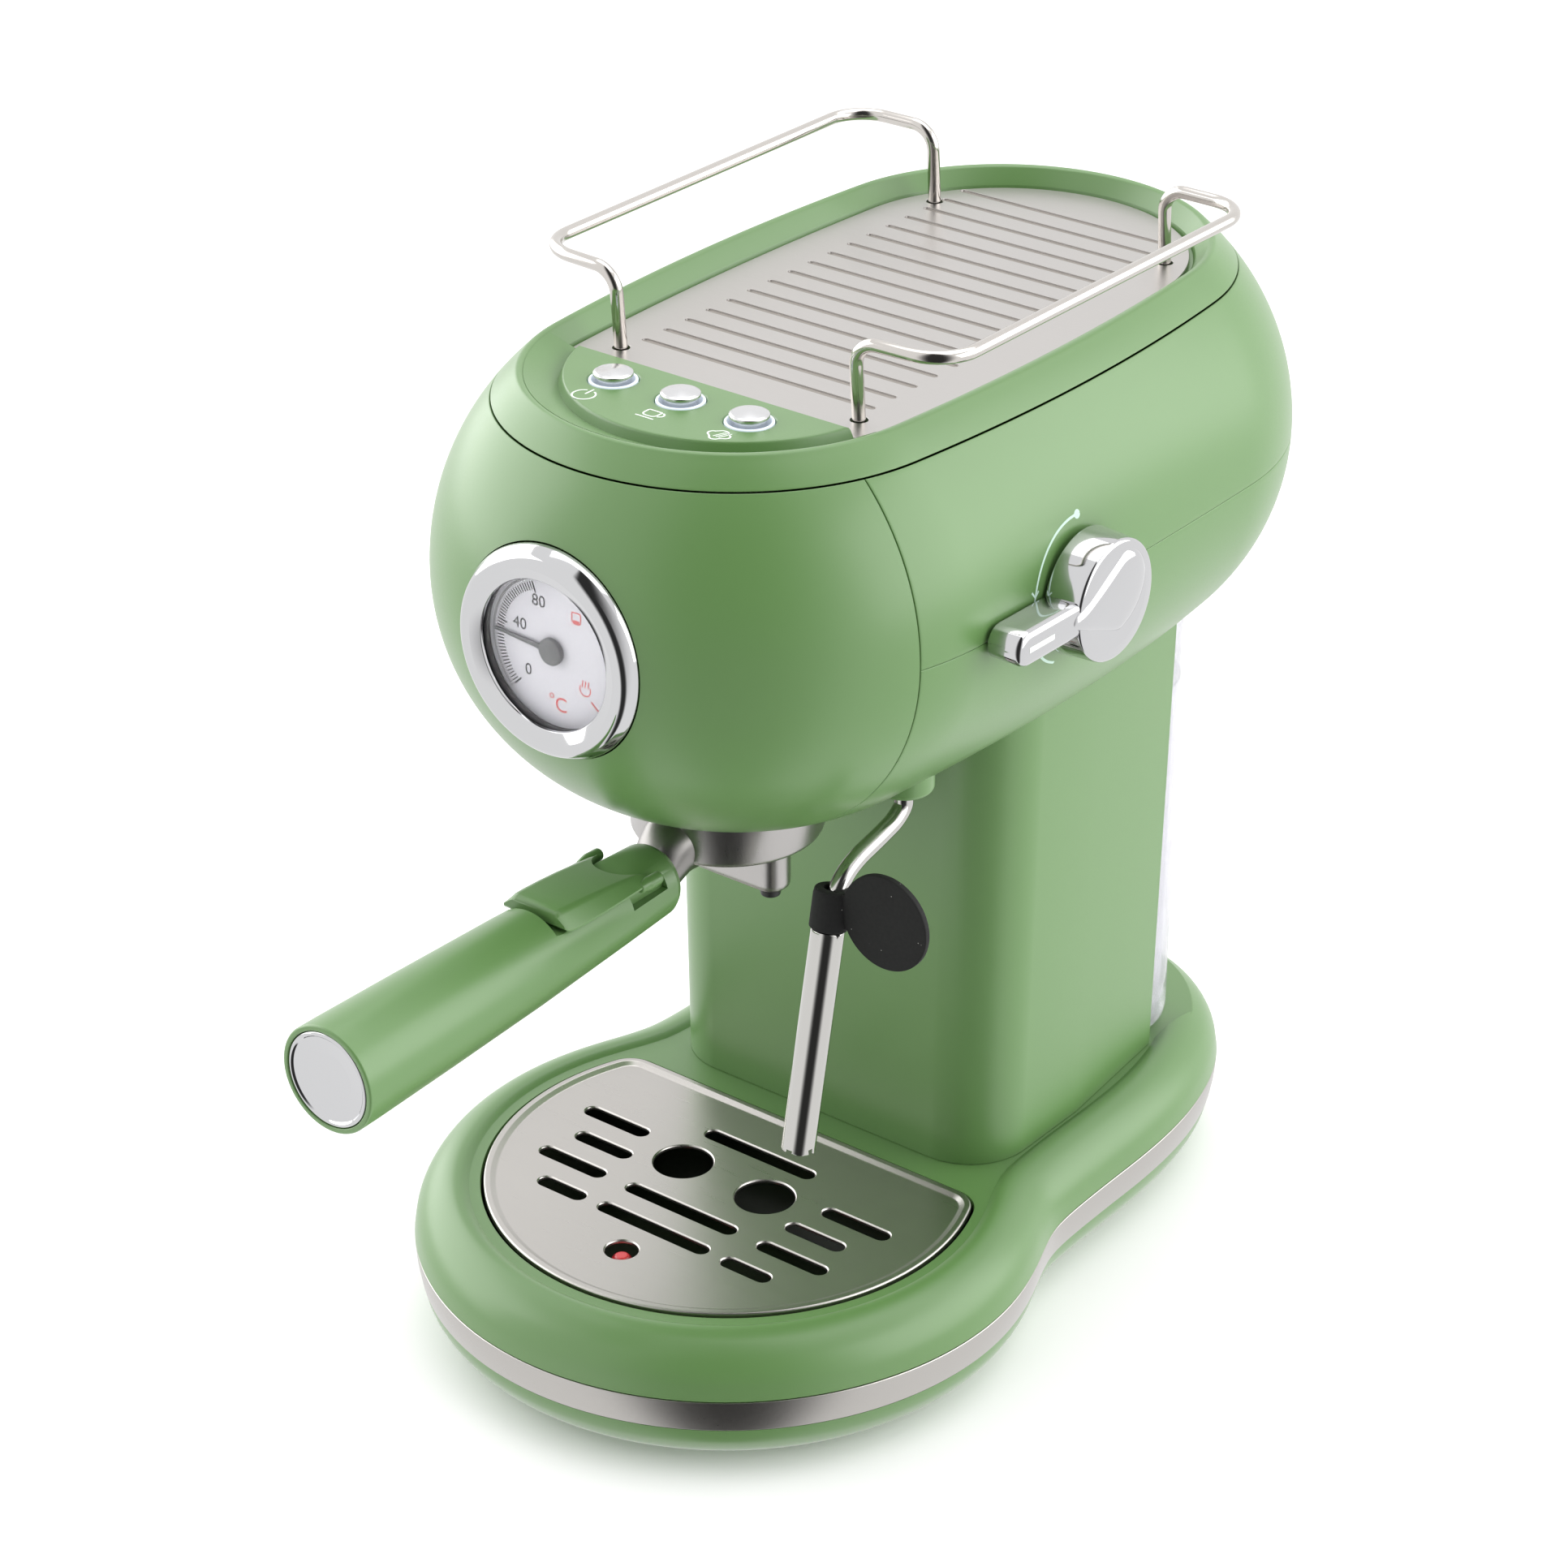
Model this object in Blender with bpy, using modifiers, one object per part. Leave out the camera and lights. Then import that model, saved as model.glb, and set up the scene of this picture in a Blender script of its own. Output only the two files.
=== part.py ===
"""Retro espresso machine with a steam wand, built as separate parts.

Every length in this file is in millimetres and is turned into metres where a
mesh is made.  x = 0 is the mid plane, y = 0 the brewing axis, -y the front,
and z = 0 the underside of the feet.  The last step moves the whole machine so
that its bounding box stands centred on the origin.
"""

import math

import bmesh
import bpy
from mathutils import Quaternion, Vector

MM = 0.001
GAP = 0.3

# Head: a barrel swept round a stadium-shaped plan with slightly bowed sides.
HEAD_Y_FRONT = 4.0
HEAD_Y_REAR = 145.0
HEAD_BOW = 4.8
HEAD_HALF_WIDTH = 90.8
HEAD_Z_WIDEST = 262.0
HEAD_R_UPPER = 83.0
HEAD_R_LOWER = 74.0
HEAD_Z_BOTTOM = 190.5
HEAD_Z_TOP_SEAM = 315.4
HEAD_Z_SIDE_SEAM = 261.2
HEAD_Y_FRONT_SEAM = -21.4
HEAD_WALL = 2.5
CREST_Z = 324.0
CREST_HALF_WIDTH = 62.5
FLOOR_Z = 316.5

# Warming plate, control panel and cup rails.
PLATE_Z = 318.3
PLATE_THICK = 1.2
PLATE_HALF_WIDTH = 57.4
PLATE_Y_FRONT = -5.4
PANEL_Z = 321.6
PANEL_Y_CENTRE = 13.6
PANEL_RADIUS = 59.0
GROOVE_COUNT = 17
GROOVE_PITCH = 10.2
RAIL_X_POST = 44.7
RAIL_X_BAR = 75.0
RAIL_Y_FRONT = 6.1
RAIL_Y_REAR = 165.0
RAIL_Z = 343.5
RAIL_RADIUS = 2.2
BUTTON_PITCH = 25.4
BUTTON_Y = -20.5
BUTTON_RADIUS = 6.1
LIGHT_RADIUS = 7.4
BUTTON_TRAVEL = 2.0

# Thermometer.
GAUGE_Z = 263.5
GAUGE_Y_FACE = -81.8
GAUGE_RADIUS = 33.0
GAUGE_WINDOW = 25.6

# Steam valve knob and steam wand.
KNOB_Y = 51.5
KNOB_X_FACE = 106.0
KNOB_X_BACK = 95.9
KNOB_RADIUS = 19.1
KNOB_LEVER = 48.0
WAND_X = 60.0
WAND_Y = 9.8
WAND_Z = 197.6
TUBE_RADIUS = 3.0
SLEEVE_RADIUS = 5.2

# Brewing group and filter holder.
RING_RADIUS = 30.1
RING_Z_LOW = 173.0
RING_Z_HIGH = 190.0
BASKET_RADIUS = 25.5
SPOUT_Z = 155.0
SPOUT_X = 16.7
HANDLE_Y_END = -180.4
HANDLE_Y_NECK = -36.5
HANDLE_R_END = 16.9
HANDLE_R_NECK = 11.8
HANDLE_Z_NECK = 170.4
HANDLE_Z_END = 168.4

# Column and water tank.
COLUMN_HALF_WIDTH = 66.4
COLUMN_Y_FRONT = 47.5
COLUMN_Y_REAR = 150.5
COLUMN_Y_INNER = 108.0
COLUMN_CORNER = 22.0
COLUMN_FLARE = 3.0
TANK_HALF_WIDTH = 59.4
TANK_Y_REAR = 180.0
TANK_CORNER = 24.0

# Base: a front disc that runs into a rounded rear, seen from above.
BASE_R_FRONT = 101.6
BASE_Y_FRONT = -1.0
BASE_HALF_REAR = 85.6
BASE_Y_REAR = 100.0
BASE_DEPTH_REAR = 117.0
BASE_POWER = 2.5
BASE_BLEND = 7.0
DECK_Z = 44.7
CREASE_Z = 46.3
BAND_Z_HIGH = 28.5
BAND_Z_LOW = 17.2
PAN_Z = 2.0
GRILLE_RADIUS = 79.5
GRILLE_Y_BACK = 36.5
GRILLE_CORNER = 10.0
SLOT_WIDTH = 5.4
CUP_HOLE_RADIUS = 9.75
FLOAT_Y = -54.7


# ---------------------------------------------------------------- helpers

def clear_scene():
    """Empty the start-up scene."""
    for item in list(bpy.data.objects):
        bpy.data.objects.remove(item, do_unlink=True)


def new_collection(name, hidden):
    """Make a collection and link it to the scene."""
    collection = bpy.data.collections.new(name)
    collection.hide_render = hidden
    bpy.context.scene.collection.children.link(collection)
    return collection


clear_scene()
PARTS = new_collection("espresso_machine", False)
CUTTERS = new_collection("cutters", True)
MATERIALS = {}


def material(name, colour, roughness, metallic, alpha=1.0):
    """Make one Principled material."""
    made = bpy.data.materials.new(name)
    made.use_nodes = True
    shader = made.node_tree.nodes["Principled BSDF"]
    shader.inputs["Base Color"].default_value = (*colour, 1.0)
    shader.inputs["Roughness"].default_value = roughness
    shader.inputs["Metallic"].default_value = metallic
    shader.inputs["Alpha"].default_value = alpha
    MATERIALS[name] = made


material("green_plastic", (0.26, 0.41, 0.20), 0.42, 0.0)
material("brushed_steel", (0.63, 0.61, 0.58), 0.36, 1.0)
material("chrome", (0.86, 0.86, 0.87), 0.06, 1.0)
material("cast_aluminium", (0.60, 0.60, 0.61), 0.30, 1.0)
material("black_rubber", (0.028, 0.028, 0.028), 0.70, 0.0)
material("black_plastic", (0.05, 0.05, 0.055), 0.50, 0.0)
material("grey_plastic", (0.20, 0.20, 0.21), 0.50, 0.0)
material("light_plastic", (0.68, 0.80, 0.96), 0.35, 0.0)
material("dial_white", (0.74, 0.72, 0.78), 0.60, 0.0)
material("red_plastic", (0.80, 0.07, 0.08), 0.35, 0.0)
material("clear_plastic", (0.80, 0.80, 0.86), 0.08, 0.0, 0.30)
material("clear_glass", (0.92, 0.94, 0.95), 0.03, 0.0, 0.18)
material("brass_valve", (0.60, 0.42, 0.16), 0.35, 1.0)
material("board_green", (0.03, 0.16, 0.07), 0.55, 0.0)


def pivot(name, location, parent=None):
    """Make an empty on a joint's axis."""
    empty = bpy.data.objects.new(name, None)
    empty.empty_display_size = 0.02
    empty.location = Vector(location) * MM
    if parent is not None:
        empty.parent = parent
        empty.location = (Vector(location) - Vector(parent["at_mm"])) * MM
    empty["at_mm"] = tuple(location)
    PARTS.objects.link(empty)
    return empty


ROOT = pivot("root", (0, 0, 0))


def loft(name, rings, surface=None, parent=None, closed=False):
    """Skin matching rings; closed joins last to first, else flat caps."""
    count = len(rings[0])
    points = [Vector(p) * MM for ring in rings for p in ring]
    faces = []
    last = len(rings) if closed else len(rings) - 1
    for i in range(last):
        a = i * count
        b = ((i + 1) % len(rings)) * count
        for j in range(count):
            k = (j + 1) % count
            faces.append((a + j, a + k, b + k, b + j))
    if not closed:
        faces.append(tuple(range(count))[::-1])
        top = (len(rings) - 1) * count
        faces.append(tuple(range(top, top + count)))
    mesh = bpy.data.meshes.new(name)
    mesh.from_pydata(points, [], faces)
    work = bmesh.new()
    work.from_mesh(mesh)
    bmesh.ops.recalc_face_normals(work, faces=work.faces)
    work.to_mesh(mesh)
    work.free()
    mesh.shade_smooth()
    return settle(bpy.data.objects.new(name, mesh), surface, parent)


TURNS = {"x": (0.0, math.pi / 2, 0.0), "y": (-math.pi / 2, 0.0, 0.0),
         "z": (0.0, 0.0, 0.0)}


def settle(made, surface, parent):
    """Put an object among the parts, or among the cutters without a surface."""
    if surface is None:
        CUTTERS.objects.link(made)
        made.hide_render = True
        made.display_type = "WIRE"
        made.parent = ROOT
        return made
    made.data.materials.append(MATERIALS[surface])
    PARTS.objects.link(made)
    holder = parent or ROOT
    made.parent = holder
    made.location -= Vector(holder["at_mm"]) * MM
    return made


def turned(name, centre, axis, profile, surface=None, parent=None, count=20,
           closed=False):
    """A turned piece: profile pairs are (radius, distance along the axis)."""
    outline = list(profile)
    if not closed:
        outline = [(0.0, profile[0][1])] + outline + [(0.0, profile[-1][1])]
    twice_area = 0.0
    for i, (radius, along) in enumerate(outline):
        after = outline[(i + 1) % len(outline)]
        twice_area += radius * after[1] - after[0] * along
    if twice_area > 0:
        outline.reverse()
    points = [Vector((radius, 0, along)) * MM for radius, along in outline]
    edges = [(i, i + 1) for i in range(len(points) - 1)]
    if closed:
        edges.append((len(points) - 1, 0))
    mesh = bpy.data.meshes.new(name)
    mesh.from_pydata(points, edges, [])
    made = bpy.data.objects.new(name, mesh)
    made.location = Vector(centre) * MM
    made.rotation_euler = TURNS[axis]
    screw = made.modifiers.new("turn", "SCREW")
    screw.steps = count
    screw.render_steps = count
    screw.use_merge_vertices = True
    screw.merge_threshold = 0.00001
    screw.use_smooth_shade = True
    return settle(made, surface, parent)


def box(name, low, high, surface=None, parent=None):
    """A rectangular block between two corners."""
    size = Vector(high) - Vector(low)
    work = bmesh.new()
    bmesh.ops.create_cube(work, size=1.0)
    bmesh.ops.scale(work, vec=size * MM, verts=work.verts)
    mesh = bpy.data.meshes.new(name)
    work.to_mesh(mesh)
    work.free()
    made = bpy.data.objects.new(name, mesh)
    made.location = (Vector(low) + Vector(high)) / 2 * MM
    return settle(made, surface, parent)


def sweep(name, path, radii, surface=None, parent=None, detail=1):
    """A round bar along a path, with a radius at each point."""
    curve = bpy.data.curves.new(name, "CURVE")
    curve.dimensions = "3D"
    curve.bevel_depth = MM
    curve.bevel_resolution = detail
    curve.use_fill_caps = True
    line = curve.splines.new("POLY")
    line.points.add(len(path) - 1)
    for spot, place, radius in zip(line.points, path, radii):
        spot.co = (*(Vector(place) * MM), 1.0)
        spot.radius = radius
    guide = bpy.data.objects.new(name + "_guide", curve)
    CUTTERS.objects.link(guide)
    graph = bpy.context.evaluated_depsgraph_get()
    mesh = bpy.data.meshes.new_from_object(guide.evaluated_get(graph))
    bpy.data.objects.remove(guide, do_unlink=True)
    work = bmesh.new()
    work.from_mesh(mesh)
    bmesh.ops.remove_doubles(work, verts=work.verts, dist=0.000001)
    bmesh.ops.recalc_face_normals(work, faces=work.faces)
    work.to_mesh(mesh)
    work.free()
    return settle(bpy.data.objects.new(name, mesh), surface, parent)


def rounded(corners, bend, steps=5):
    """A path through corners with a circular bend at each inner one."""
    spots = [Vector(c) for c in corners]
    path = [tuple(spots[0])]
    for i in range(1, len(spots) - 1):
        back = (spots[i - 1] - spots[i]).normalized()
        ahead = (spots[i + 1] - spots[i]).normalized()
        half = back.angle(ahead) / 2
        reach = bend / math.tan(half)
        middle = (back + ahead).normalized()
        centre = spots[i] + middle * (bend / math.sin(half))
        first = spots[i] + back * reach - centre
        last = spots[i] + ahead * reach - centre
        turn = first.rotation_difference(last)
        for k in range(steps + 1):
            arc = first.copy()
            arc.rotate(Quaternion(turn.axis, turn.angle * k / steps))
            path.append(tuple(centre + arc))
    path.append(tuple(spots[-1]))
    return path


def boolean(target, other, operation):
    """Add an exact Boolean modifier."""
    made = target.modifiers.new(operation.lower(), "BOOLEAN")
    made.operation = operation
    made.solver = "EXACT"
    made.object = other
    return target


def cut(target, *others):
    """Take other shapes away from a part."""
    for other in others:
        boolean(target, other, "DIFFERENCE")
    return target


def join(target, *others):
    """Fuse helper shapes into a part, so it stays one body."""
    for other in others:
        boolean(target, other, "UNION")
    return target


# ------------------------------------------------------------- plan curves

def head_width(z):
    """Half width of the barrel at a height."""
    drop = z - HEAD_Z_WIDEST
    radius = HEAD_R_UPPER if drop > 0 else HEAD_R_LOWER
    return HEAD_HALF_WIDTH - radius + math.sqrt(radius * radius - drop * drop)


def bow(y):
    """How far the long side bulges at a place along it."""
    middle = (HEAD_Y_FRONT + HEAD_Y_REAR) / 2
    t = (y - middle) / (HEAD_Y_REAR - middle)
    if abs(t) >= 1:
        return 0.0
    return HEAD_BOW * (0.5 + 0.5 * math.cos(math.pi * t))


def stadium(width, z, ends=12, sides=6):
    """The head's plan at one half width, anticlockwise from the right side."""
    ring = []
    for i in range(sides):
        y = HEAD_Y_FRONT + (HEAD_Y_REAR - HEAD_Y_FRONT) * i / sides
        ring.append((width + bow(y), y, z))
    for i in range(ends):
        a = math.pi * i / ends
        ring.append((width * math.cos(a), HEAD_Y_REAR + width * math.sin(a), z))
    for i in range(sides):
        y = HEAD_Y_REAR - (HEAD_Y_REAR - HEAD_Y_FRONT) * i / sides
        ring.append((-width - bow(y), y, z))
    for i in range(ends):
        a = math.pi + math.pi * i / ends
        ring.append((width * math.cos(a), HEAD_Y_FRONT + width * math.sin(a), z))
    return ring


def base_half_width(y, inset):
    """Half width of the base outline at a place along it."""
    front = BASE_R_FRONT - inset
    rear = BASE_HALF_REAR - inset
    depth = BASE_DEPTH_REAR - inset
    reach = front * front - (y - BASE_Y_FRONT) ** 2
    if reach <= 0:
        disc = 0.0
    else:
        disc = math.sqrt(reach)
    if y > BASE_Y_REAR:
        t = min((y - BASE_Y_REAR) / depth, 1.0)
        lobe = rear * (1 - t ** BASE_POWER) ** (1 / BASE_POWER)
    elif y < 20:
        t = min((20 - y) / 60, 1.0)
        lobe = rear * math.sqrt(1 - t * t)
    else:
        lobe = rear
    if disc == 0.0 and lobe == 0.0:
        return 0.0
    spread = BASE_BLEND * min(disc, lobe) / max(disc, lobe)
    return 0.5 * (disc + lobe + math.sqrt((disc - lobe) ** 2 + spread ** 2))


def base_ring(inset, z, count=48):
    """The base outline moved inwards, sampled at even angles."""
    ring = []
    for i in range(count):
        a = 2 * math.pi * i / count
        low = 0.0
        high = 260.0
        for _ in range(40):
            reach = (low + high) / 2
            x = abs(reach * math.cos(a))
            y = 55 + reach * math.sin(a)
            if x <= base_half_width(y, inset) and base_half_width(y, inset) > 0:
                low = reach
            else:
                high = reach
        ring.append((low * math.cos(a), 55 + low * math.sin(a), z))
    return ring


def dee_ring(inset, z, arc=28, corner=4):
    """The drip grille's outline: a disc with a straight back edge."""
    radius = GRILLE_RADIUS - inset
    back = GRILLE_Y_BACK - inset
    bend = max(GRILLE_CORNER - inset, 2.0)
    cx = math.sqrt((radius - bend) ** 2 - (back - bend) ** 2)
    cy = back - bend
    turn = math.atan2(cy, cx)
    ring = []
    for i in range(corner + 1):
        a = turn + (math.pi / 2 - turn) * i / corner
        ring.append((cx + bend * math.cos(a), cy + bend * math.sin(a), z))
    for i in range(corner + 1):
        a = math.pi / 2 + (math.pi / 2 - turn) * i / corner
        ring.append((-cx + bend * math.cos(a), cy + bend * math.sin(a), z))
    for i in range(1, arc):
        a = math.pi - turn + (math.pi + 2 * turn) * i / arc
        ring.append((radius * math.cos(a), radius * math.sin(a), z))
    return ring


def column_ring(inset, z, rear=COLUMN_Y_REAR, steps=5):
    """The column's plan, which flares a little with height."""
    flare = COLUMN_FLARE * (z - DECK_Z) / (HEAD_Z_BOTTOM - DECK_Z)
    half = COLUMN_HALF_WIDTH + flare - inset
    tail = half - 5.0 * (rear - 100.0) / (COLUMN_Y_REAR - 100.0)
    front = COLUMN_Y_FRONT + inset
    bend = max(COLUMN_CORNER - inset, 2.0)
    ring = []
    for i in range(steps + 1):
        a = -math.pi / 2 + math.pi / 2 * i / steps
        x = half - bend + bend * math.cos(a)
        ring.append((x, front + bend + bend * math.sin(a), z))
    ring.append((half, 100.0, z))
    ring.append((tail, rear, z))
    ring.append((-tail, rear, z))
    ring.append((-half, 100.0, z))
    for i in range(steps + 1):
        a = math.pi + math.pi / 2 * i / steps
        x = -half + bend + bend * math.cos(a)
        ring.append((x, front + bend + bend * math.sin(a), z))
    return ring


def tank_ring(inset, z, steps=5):
    """The water tank's plan: square at the front, rounded at the rear."""
    half = TANK_HALF_WIDTH - inset
    front = COLUMN_Y_INNER + 1.0 + inset
    rear = TANK_Y_REAR - inset
    bend = TANK_CORNER - inset
    ring = [(-half, front, z), (half, front, z)]
    for i in range(steps + 1):
        a = math.pi / 2 * i / steps
        x = half - bend + bend * math.cos(a)
        ring.append((x, rear - bend + bend * math.sin(a), z))
    for i in range(steps + 1):
        a = math.pi / 2 + math.pi / 2 * i / steps
        x = -half + bend + bend * math.cos(a)
        ring.append((x, rear - bend + bend * math.sin(a), z))
    return ring


def panel_ring(inset, z, count=20):
    """The control panel's plan: the part of a disc in front of the plate."""
    radius = PANEL_RADIUS - inset
    back = PLATE_Y_FRONT - 0.6 - max(inset, 0.0)
    reach = PANEL_Y_CENTRE - back
    start = math.asin(min(reach / radius, 1.0))
    ring = []
    for i in range(count + 1):
        a = math.pi + start + (math.pi - 2 * start) * i / count
        x = radius * math.cos(a)
        ring.append((x, PANEL_Y_CENTRE + radius * math.sin(a), z))
    return ring


def head_solid(name, grow):
    """The head's outside as a plain solid, used only to trim other pieces."""
    heights = [HEAD_Z_BOTTOM, 194.0, 199.0, 207.0, 218.0, 232.0, 262.0]
    rings = []
    for z in heights:
        rings.append(stadium(head_width(z) + grow, z - grow))
    return loft(name, rings)


# ------------------------------------------------------------------- base

def build_base():
    """Torus-edged cover, steel band, pan and rubber feet."""
    outline = [(18.3, DECK_Z), (15.6, CREASE_Z), (12.6, 46.1), (8.4, 44.3)]
    outline += [(4.2, 40.6), (1.3, 35.2), (0.1, 28.8), (2.7, 28.8)]
    outline += [(4.0, 34.4), (7.2, 39.0), (12.0, 41.8), (20.6, 42.0)]
    cover = loft("base_cover", [base_ring(d, z) for d, z in outline],
                 "green_plastic")
    well = loft("cut_well", [dee_ring(-0.8, 38.0), dee_ring(-0.8, 52.0)])
    channel = box("cut_channel", (-61, 150.5, DECK_Z), (61, 230, 52))
    cut(cover, well, channel)
    band = [(0.0, BAND_Z_HIGH), (1.4, BAND_Z_LOW), (3.6, BAND_Z_LOW),
            (2.2, BAND_Z_HIGH)]
    loft("base_band", [base_ring(d, z) for d, z in band], "brushed_steel",
         closed=True)
    pan = [(16.0, PAN_Z), (11.0, 3.0), (6.6, 6.2), (3.4, 11.2), (1.7, 16.9)]
    pan += [(4.2, 16.9), (6.0, 11.8), (9.0, 8.0), (14.0, 5.0), (17.0, 4.6)]
    loft("base_pan", [base_ring(d, z) for d, z in pan], "green_plastic")
    for name, x, y in (("foot_front_left", -60, -45),
                       ("foot_front_right", 60, -45),
                       ("foot_rear_left", -52, 172),
                       ("foot_rear_right", 52, 172)):
        turned(name, (x, y, 0), "z", [(8.0, 0), (9.0, 0.8), (9.0, 1.7)],
               "black_rubber", count=20)


def build_drip_tray():
    """Lift-out tray, slotted grille and level float."""
    lift = pivot("pivot_tray", (0, 0, 5))
    shell = [(0.9, 43.2), (0.9, 18.0), (6.0, 9.0), (12.0, 5.2)]
    shell += [(14.0, 7.2), (8.0, 10.6), (2.9, 18.6), (2.9, 43.2)]
    rings = [dee_ring(d, z) for d, z in shell[:4]]
    rings += [dee_ring(d, z) for d, z in shell[4:]]
    tray = loft("drip_tray", rings, "black_plastic", lift, closed=True)
    floor = loft("join_tray_floor", [dee_ring(11.0, 5.2), dee_ring(11.0, 7.2)])
    join(tray, floor)
    top = pivot("pivot_grille", (0, 0, 43.5), lift)
    plate = [(0.0, 43.5), (0.0, 45.2), (0.7, 45.7), (2.4, 45.7), (3.4, 44.7)]
    rings = [dee_ring(d, z) for d, z in plate]
    grille = loft("drip_grille", rings, "brushed_steel", top)
    for side in (-1, 1):
        label = "left" if side < 0 else "right"
        cut(grille, turned("cut_cup_" + label, (side * 16.8, -3.4, 40), "z",
                           [(CUP_HOLE_RADIUS, 0), (CUP_HOLE_RADIUS, 8)]))
        rows = ((49.3, 2.0, 20.5), (43.5, -11.7, 17.0), (45.0, -25.5, 21.2),
                (37.6, -39.4, 13.3))
        for i, (x, y, length) in enumerate(rows):
            cut(grille, slot("cut_%s_%d" % (label, i), side * x, y, length))
    for i, y in enumerate((15.3, -25.2, -39.1)):
        cut(grille, slot("cut_middle_%d" % i, 0.0, y, 38.7))
    cut(grille, turned("cut_float", (0, FLOAT_Y, 40), "z",
                       [(5.3, 0), (5.3, 8)], count=16))
    rise = pivot("pivot_float", (0, FLOAT_Y, 30), lift)
    turned("level_float", (0, FLOAT_Y, 0), "z",
           [(9.0, 7.6), (9.0, 20.0), (3.0, 21.5), (3.0, 41.4), (2.2, 42.3),
            (1.0, 42.7)], "red_plastic", rise, count=16)


def slot(name, x, y, length):
    """A cutter for one round-ended slot of the grille."""
    ring = []
    for i in range(5):
        a = -math.pi / 2 + math.pi * i / 4
        ring.append((x + length / 2 + SLOT_WIDTH / 2 * math.cos(a),
                     y + SLOT_WIDTH / 2 * math.sin(a)))
    for i in range(5):
        a = math.pi / 2 + math.pi * i / 4
        ring.append((x - length / 2 + SLOT_WIDTH / 2 * math.cos(a),
                     y + SLOT_WIDTH / 2 * math.sin(a)))
    low = [(px, py, 42.0) for px, py in ring]
    high = [(px, py, 47.0) for px, py in ring]
    return loft(name, [low, high])


# ------------------------------------------------------- column and tank

def build_column():
    """Hollow column shell, trimmed to the underside of the head."""
    shell = loft("column_shell", [column_ring(0.0, DECK_Z + GAP),
                                  column_ring(0.0, 224.0)], "green_plastic")
    rear = COLUMN_Y_INNER - 2.5
    core = loft("cut_column_core", [column_ring(2.5, DECK_Z - 4, rear),
                                    column_ring(2.5, 232.0, rear)])
    cut(shell, core)
    bay = box("cut_column_bay", (-60.2, COLUMN_Y_INNER + 0.2, DECK_Z - 4),
              (60.2, 160.0, 230.0))
    cut(shell, bay)
    cut(shell, head_solid("cut_column_top", 0.5))
    return shell


def build_tank():
    """Clear water tank with its upper rim and outlet valve, drawn out rearwards."""
    slide = pivot("pivot_tank", (0, 150, 60))
    outer = [tank_ring(6.0, 45.2), tank_ring(0.0, 50.0), tank_ring(0.0, 176.0)]
    inner = [tank_ring(2.2, 176.0), tank_ring(2.2, 51.0), tank_ring(7.0, 47.6)]
    tank = loft("water_tank", outer + inner, "clear_plastic", slide)
    port = turned("cut_port", (0, 128, 40), "z", [(5.0, 0), (5.0, 12)], count=16)
    cut(tank, port)
    rim = loft("tank_rim", [tank_ring(0.0, 176.3), tank_ring(0.0, 205.0)],
               "clear_plastic", slide)
    cut(rim, loft("cut_rim_inside", [tank_ring(2.2, 170.0),
                                     tank_ring(2.2, 212.0)]))
    cut(rim, head_solid("cut_rim_top", 1.3))
    turned("tank_valve", (0, 128, 0), "z",
           [(4.7, 45.6), (4.7, 47.9), (7.0, 47.9), (7.0, 52.0), (3.0, 55.0)],
           "grey_plastic", slide, count=16)


# ------------------------------------------------------------------- head

def build_head():
    """Front cover, two rear side shells and the top cover."""
    names = (("head_front_cover", (-120, -120, 150),
              (120, HEAD_Y_FRONT_SEAM - GAP / 2, 330)),
             ("head_lower_shell", (-120, HEAD_Y_FRONT_SEAM + GAP / 2, 150),
              (120, 260, HEAD_Z_SIDE_SEAM - GAP / 2)),
             ("head_upper_shell", (-120, HEAD_Y_FRONT_SEAM + GAP / 2,
                                   HEAD_Z_SIDE_SEAM + GAP / 2),
              (120, 260, 330)))
    group = turned("cut_group", (0, 0, 180), "z", [(31.6, 0), (31.6, 20)],
                   count=28)
    for name, low, high in names:
        shell = barrel_shell(name)
        boolean(shell, box("keep_" + name, low, high), "INTERSECT")
        if name == "head_front_cover":
            hole = turned("cut_gauge", (0, -120, GAUGE_Z), "y",
                          [(28.3, 0), (28.3, 80)], count=28)
            rim = turned("cut_bezel", (0, -120, GAUGE_Z), "y",
                         [(33.3, 0), (33.3, 120 + GAUGE_Y_FACE + 7.2)], count=28)
            cut(shell, hole, rim, group)
        if name == "head_lower_shell":
            frame = box("cut_frame", (-24.5, 70.5, 180), (24.5, 100.5, 196))
            boss = turned("cut_boss", (WAND_X, WAND_Y, 180), "z",
                          [(7.2, 0), (7.2, 30)], count=16)
            cut(shell, group, frame, boss)
        if name != "head_front_cover":
            cut(shell, turned("cut_spindle_" + name, (80, KNOB_Y,
                                                      HEAD_Z_SIDE_SEAM),
                              "x", [(5.2, 0), (5.2, 20)], count=16))


def barrel_shell(name):
    """The whole barrel as a thin shell, open at the top."""
    low = HEAD_Z_BOTTOM
    high = HEAD_Z_TOP_SEAM - GAP
    outer_z = [low, 193.5, 198.5, 206.0, 218.0, 235.0, HEAD_Z_SIDE_SEAM]
    outer_z += [280.0, 297.0, high]
    outer = [stadium(head_width(z), z) for z in outer_z]
    inner_z = [high, 297.0, 280.0, HEAD_Z_SIDE_SEAM, 235.0, 218.0]
    inner_z += [206.0, 199.5, 195.6]
    inner = [stadium(head_width(z) - HEAD_WALL, z) for z in inner_z]
    inner.append(stadium(head_width(low) - 3.0, low + HEAD_WALL))
    return loft(name, outer + inner, "green_plastic")


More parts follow.
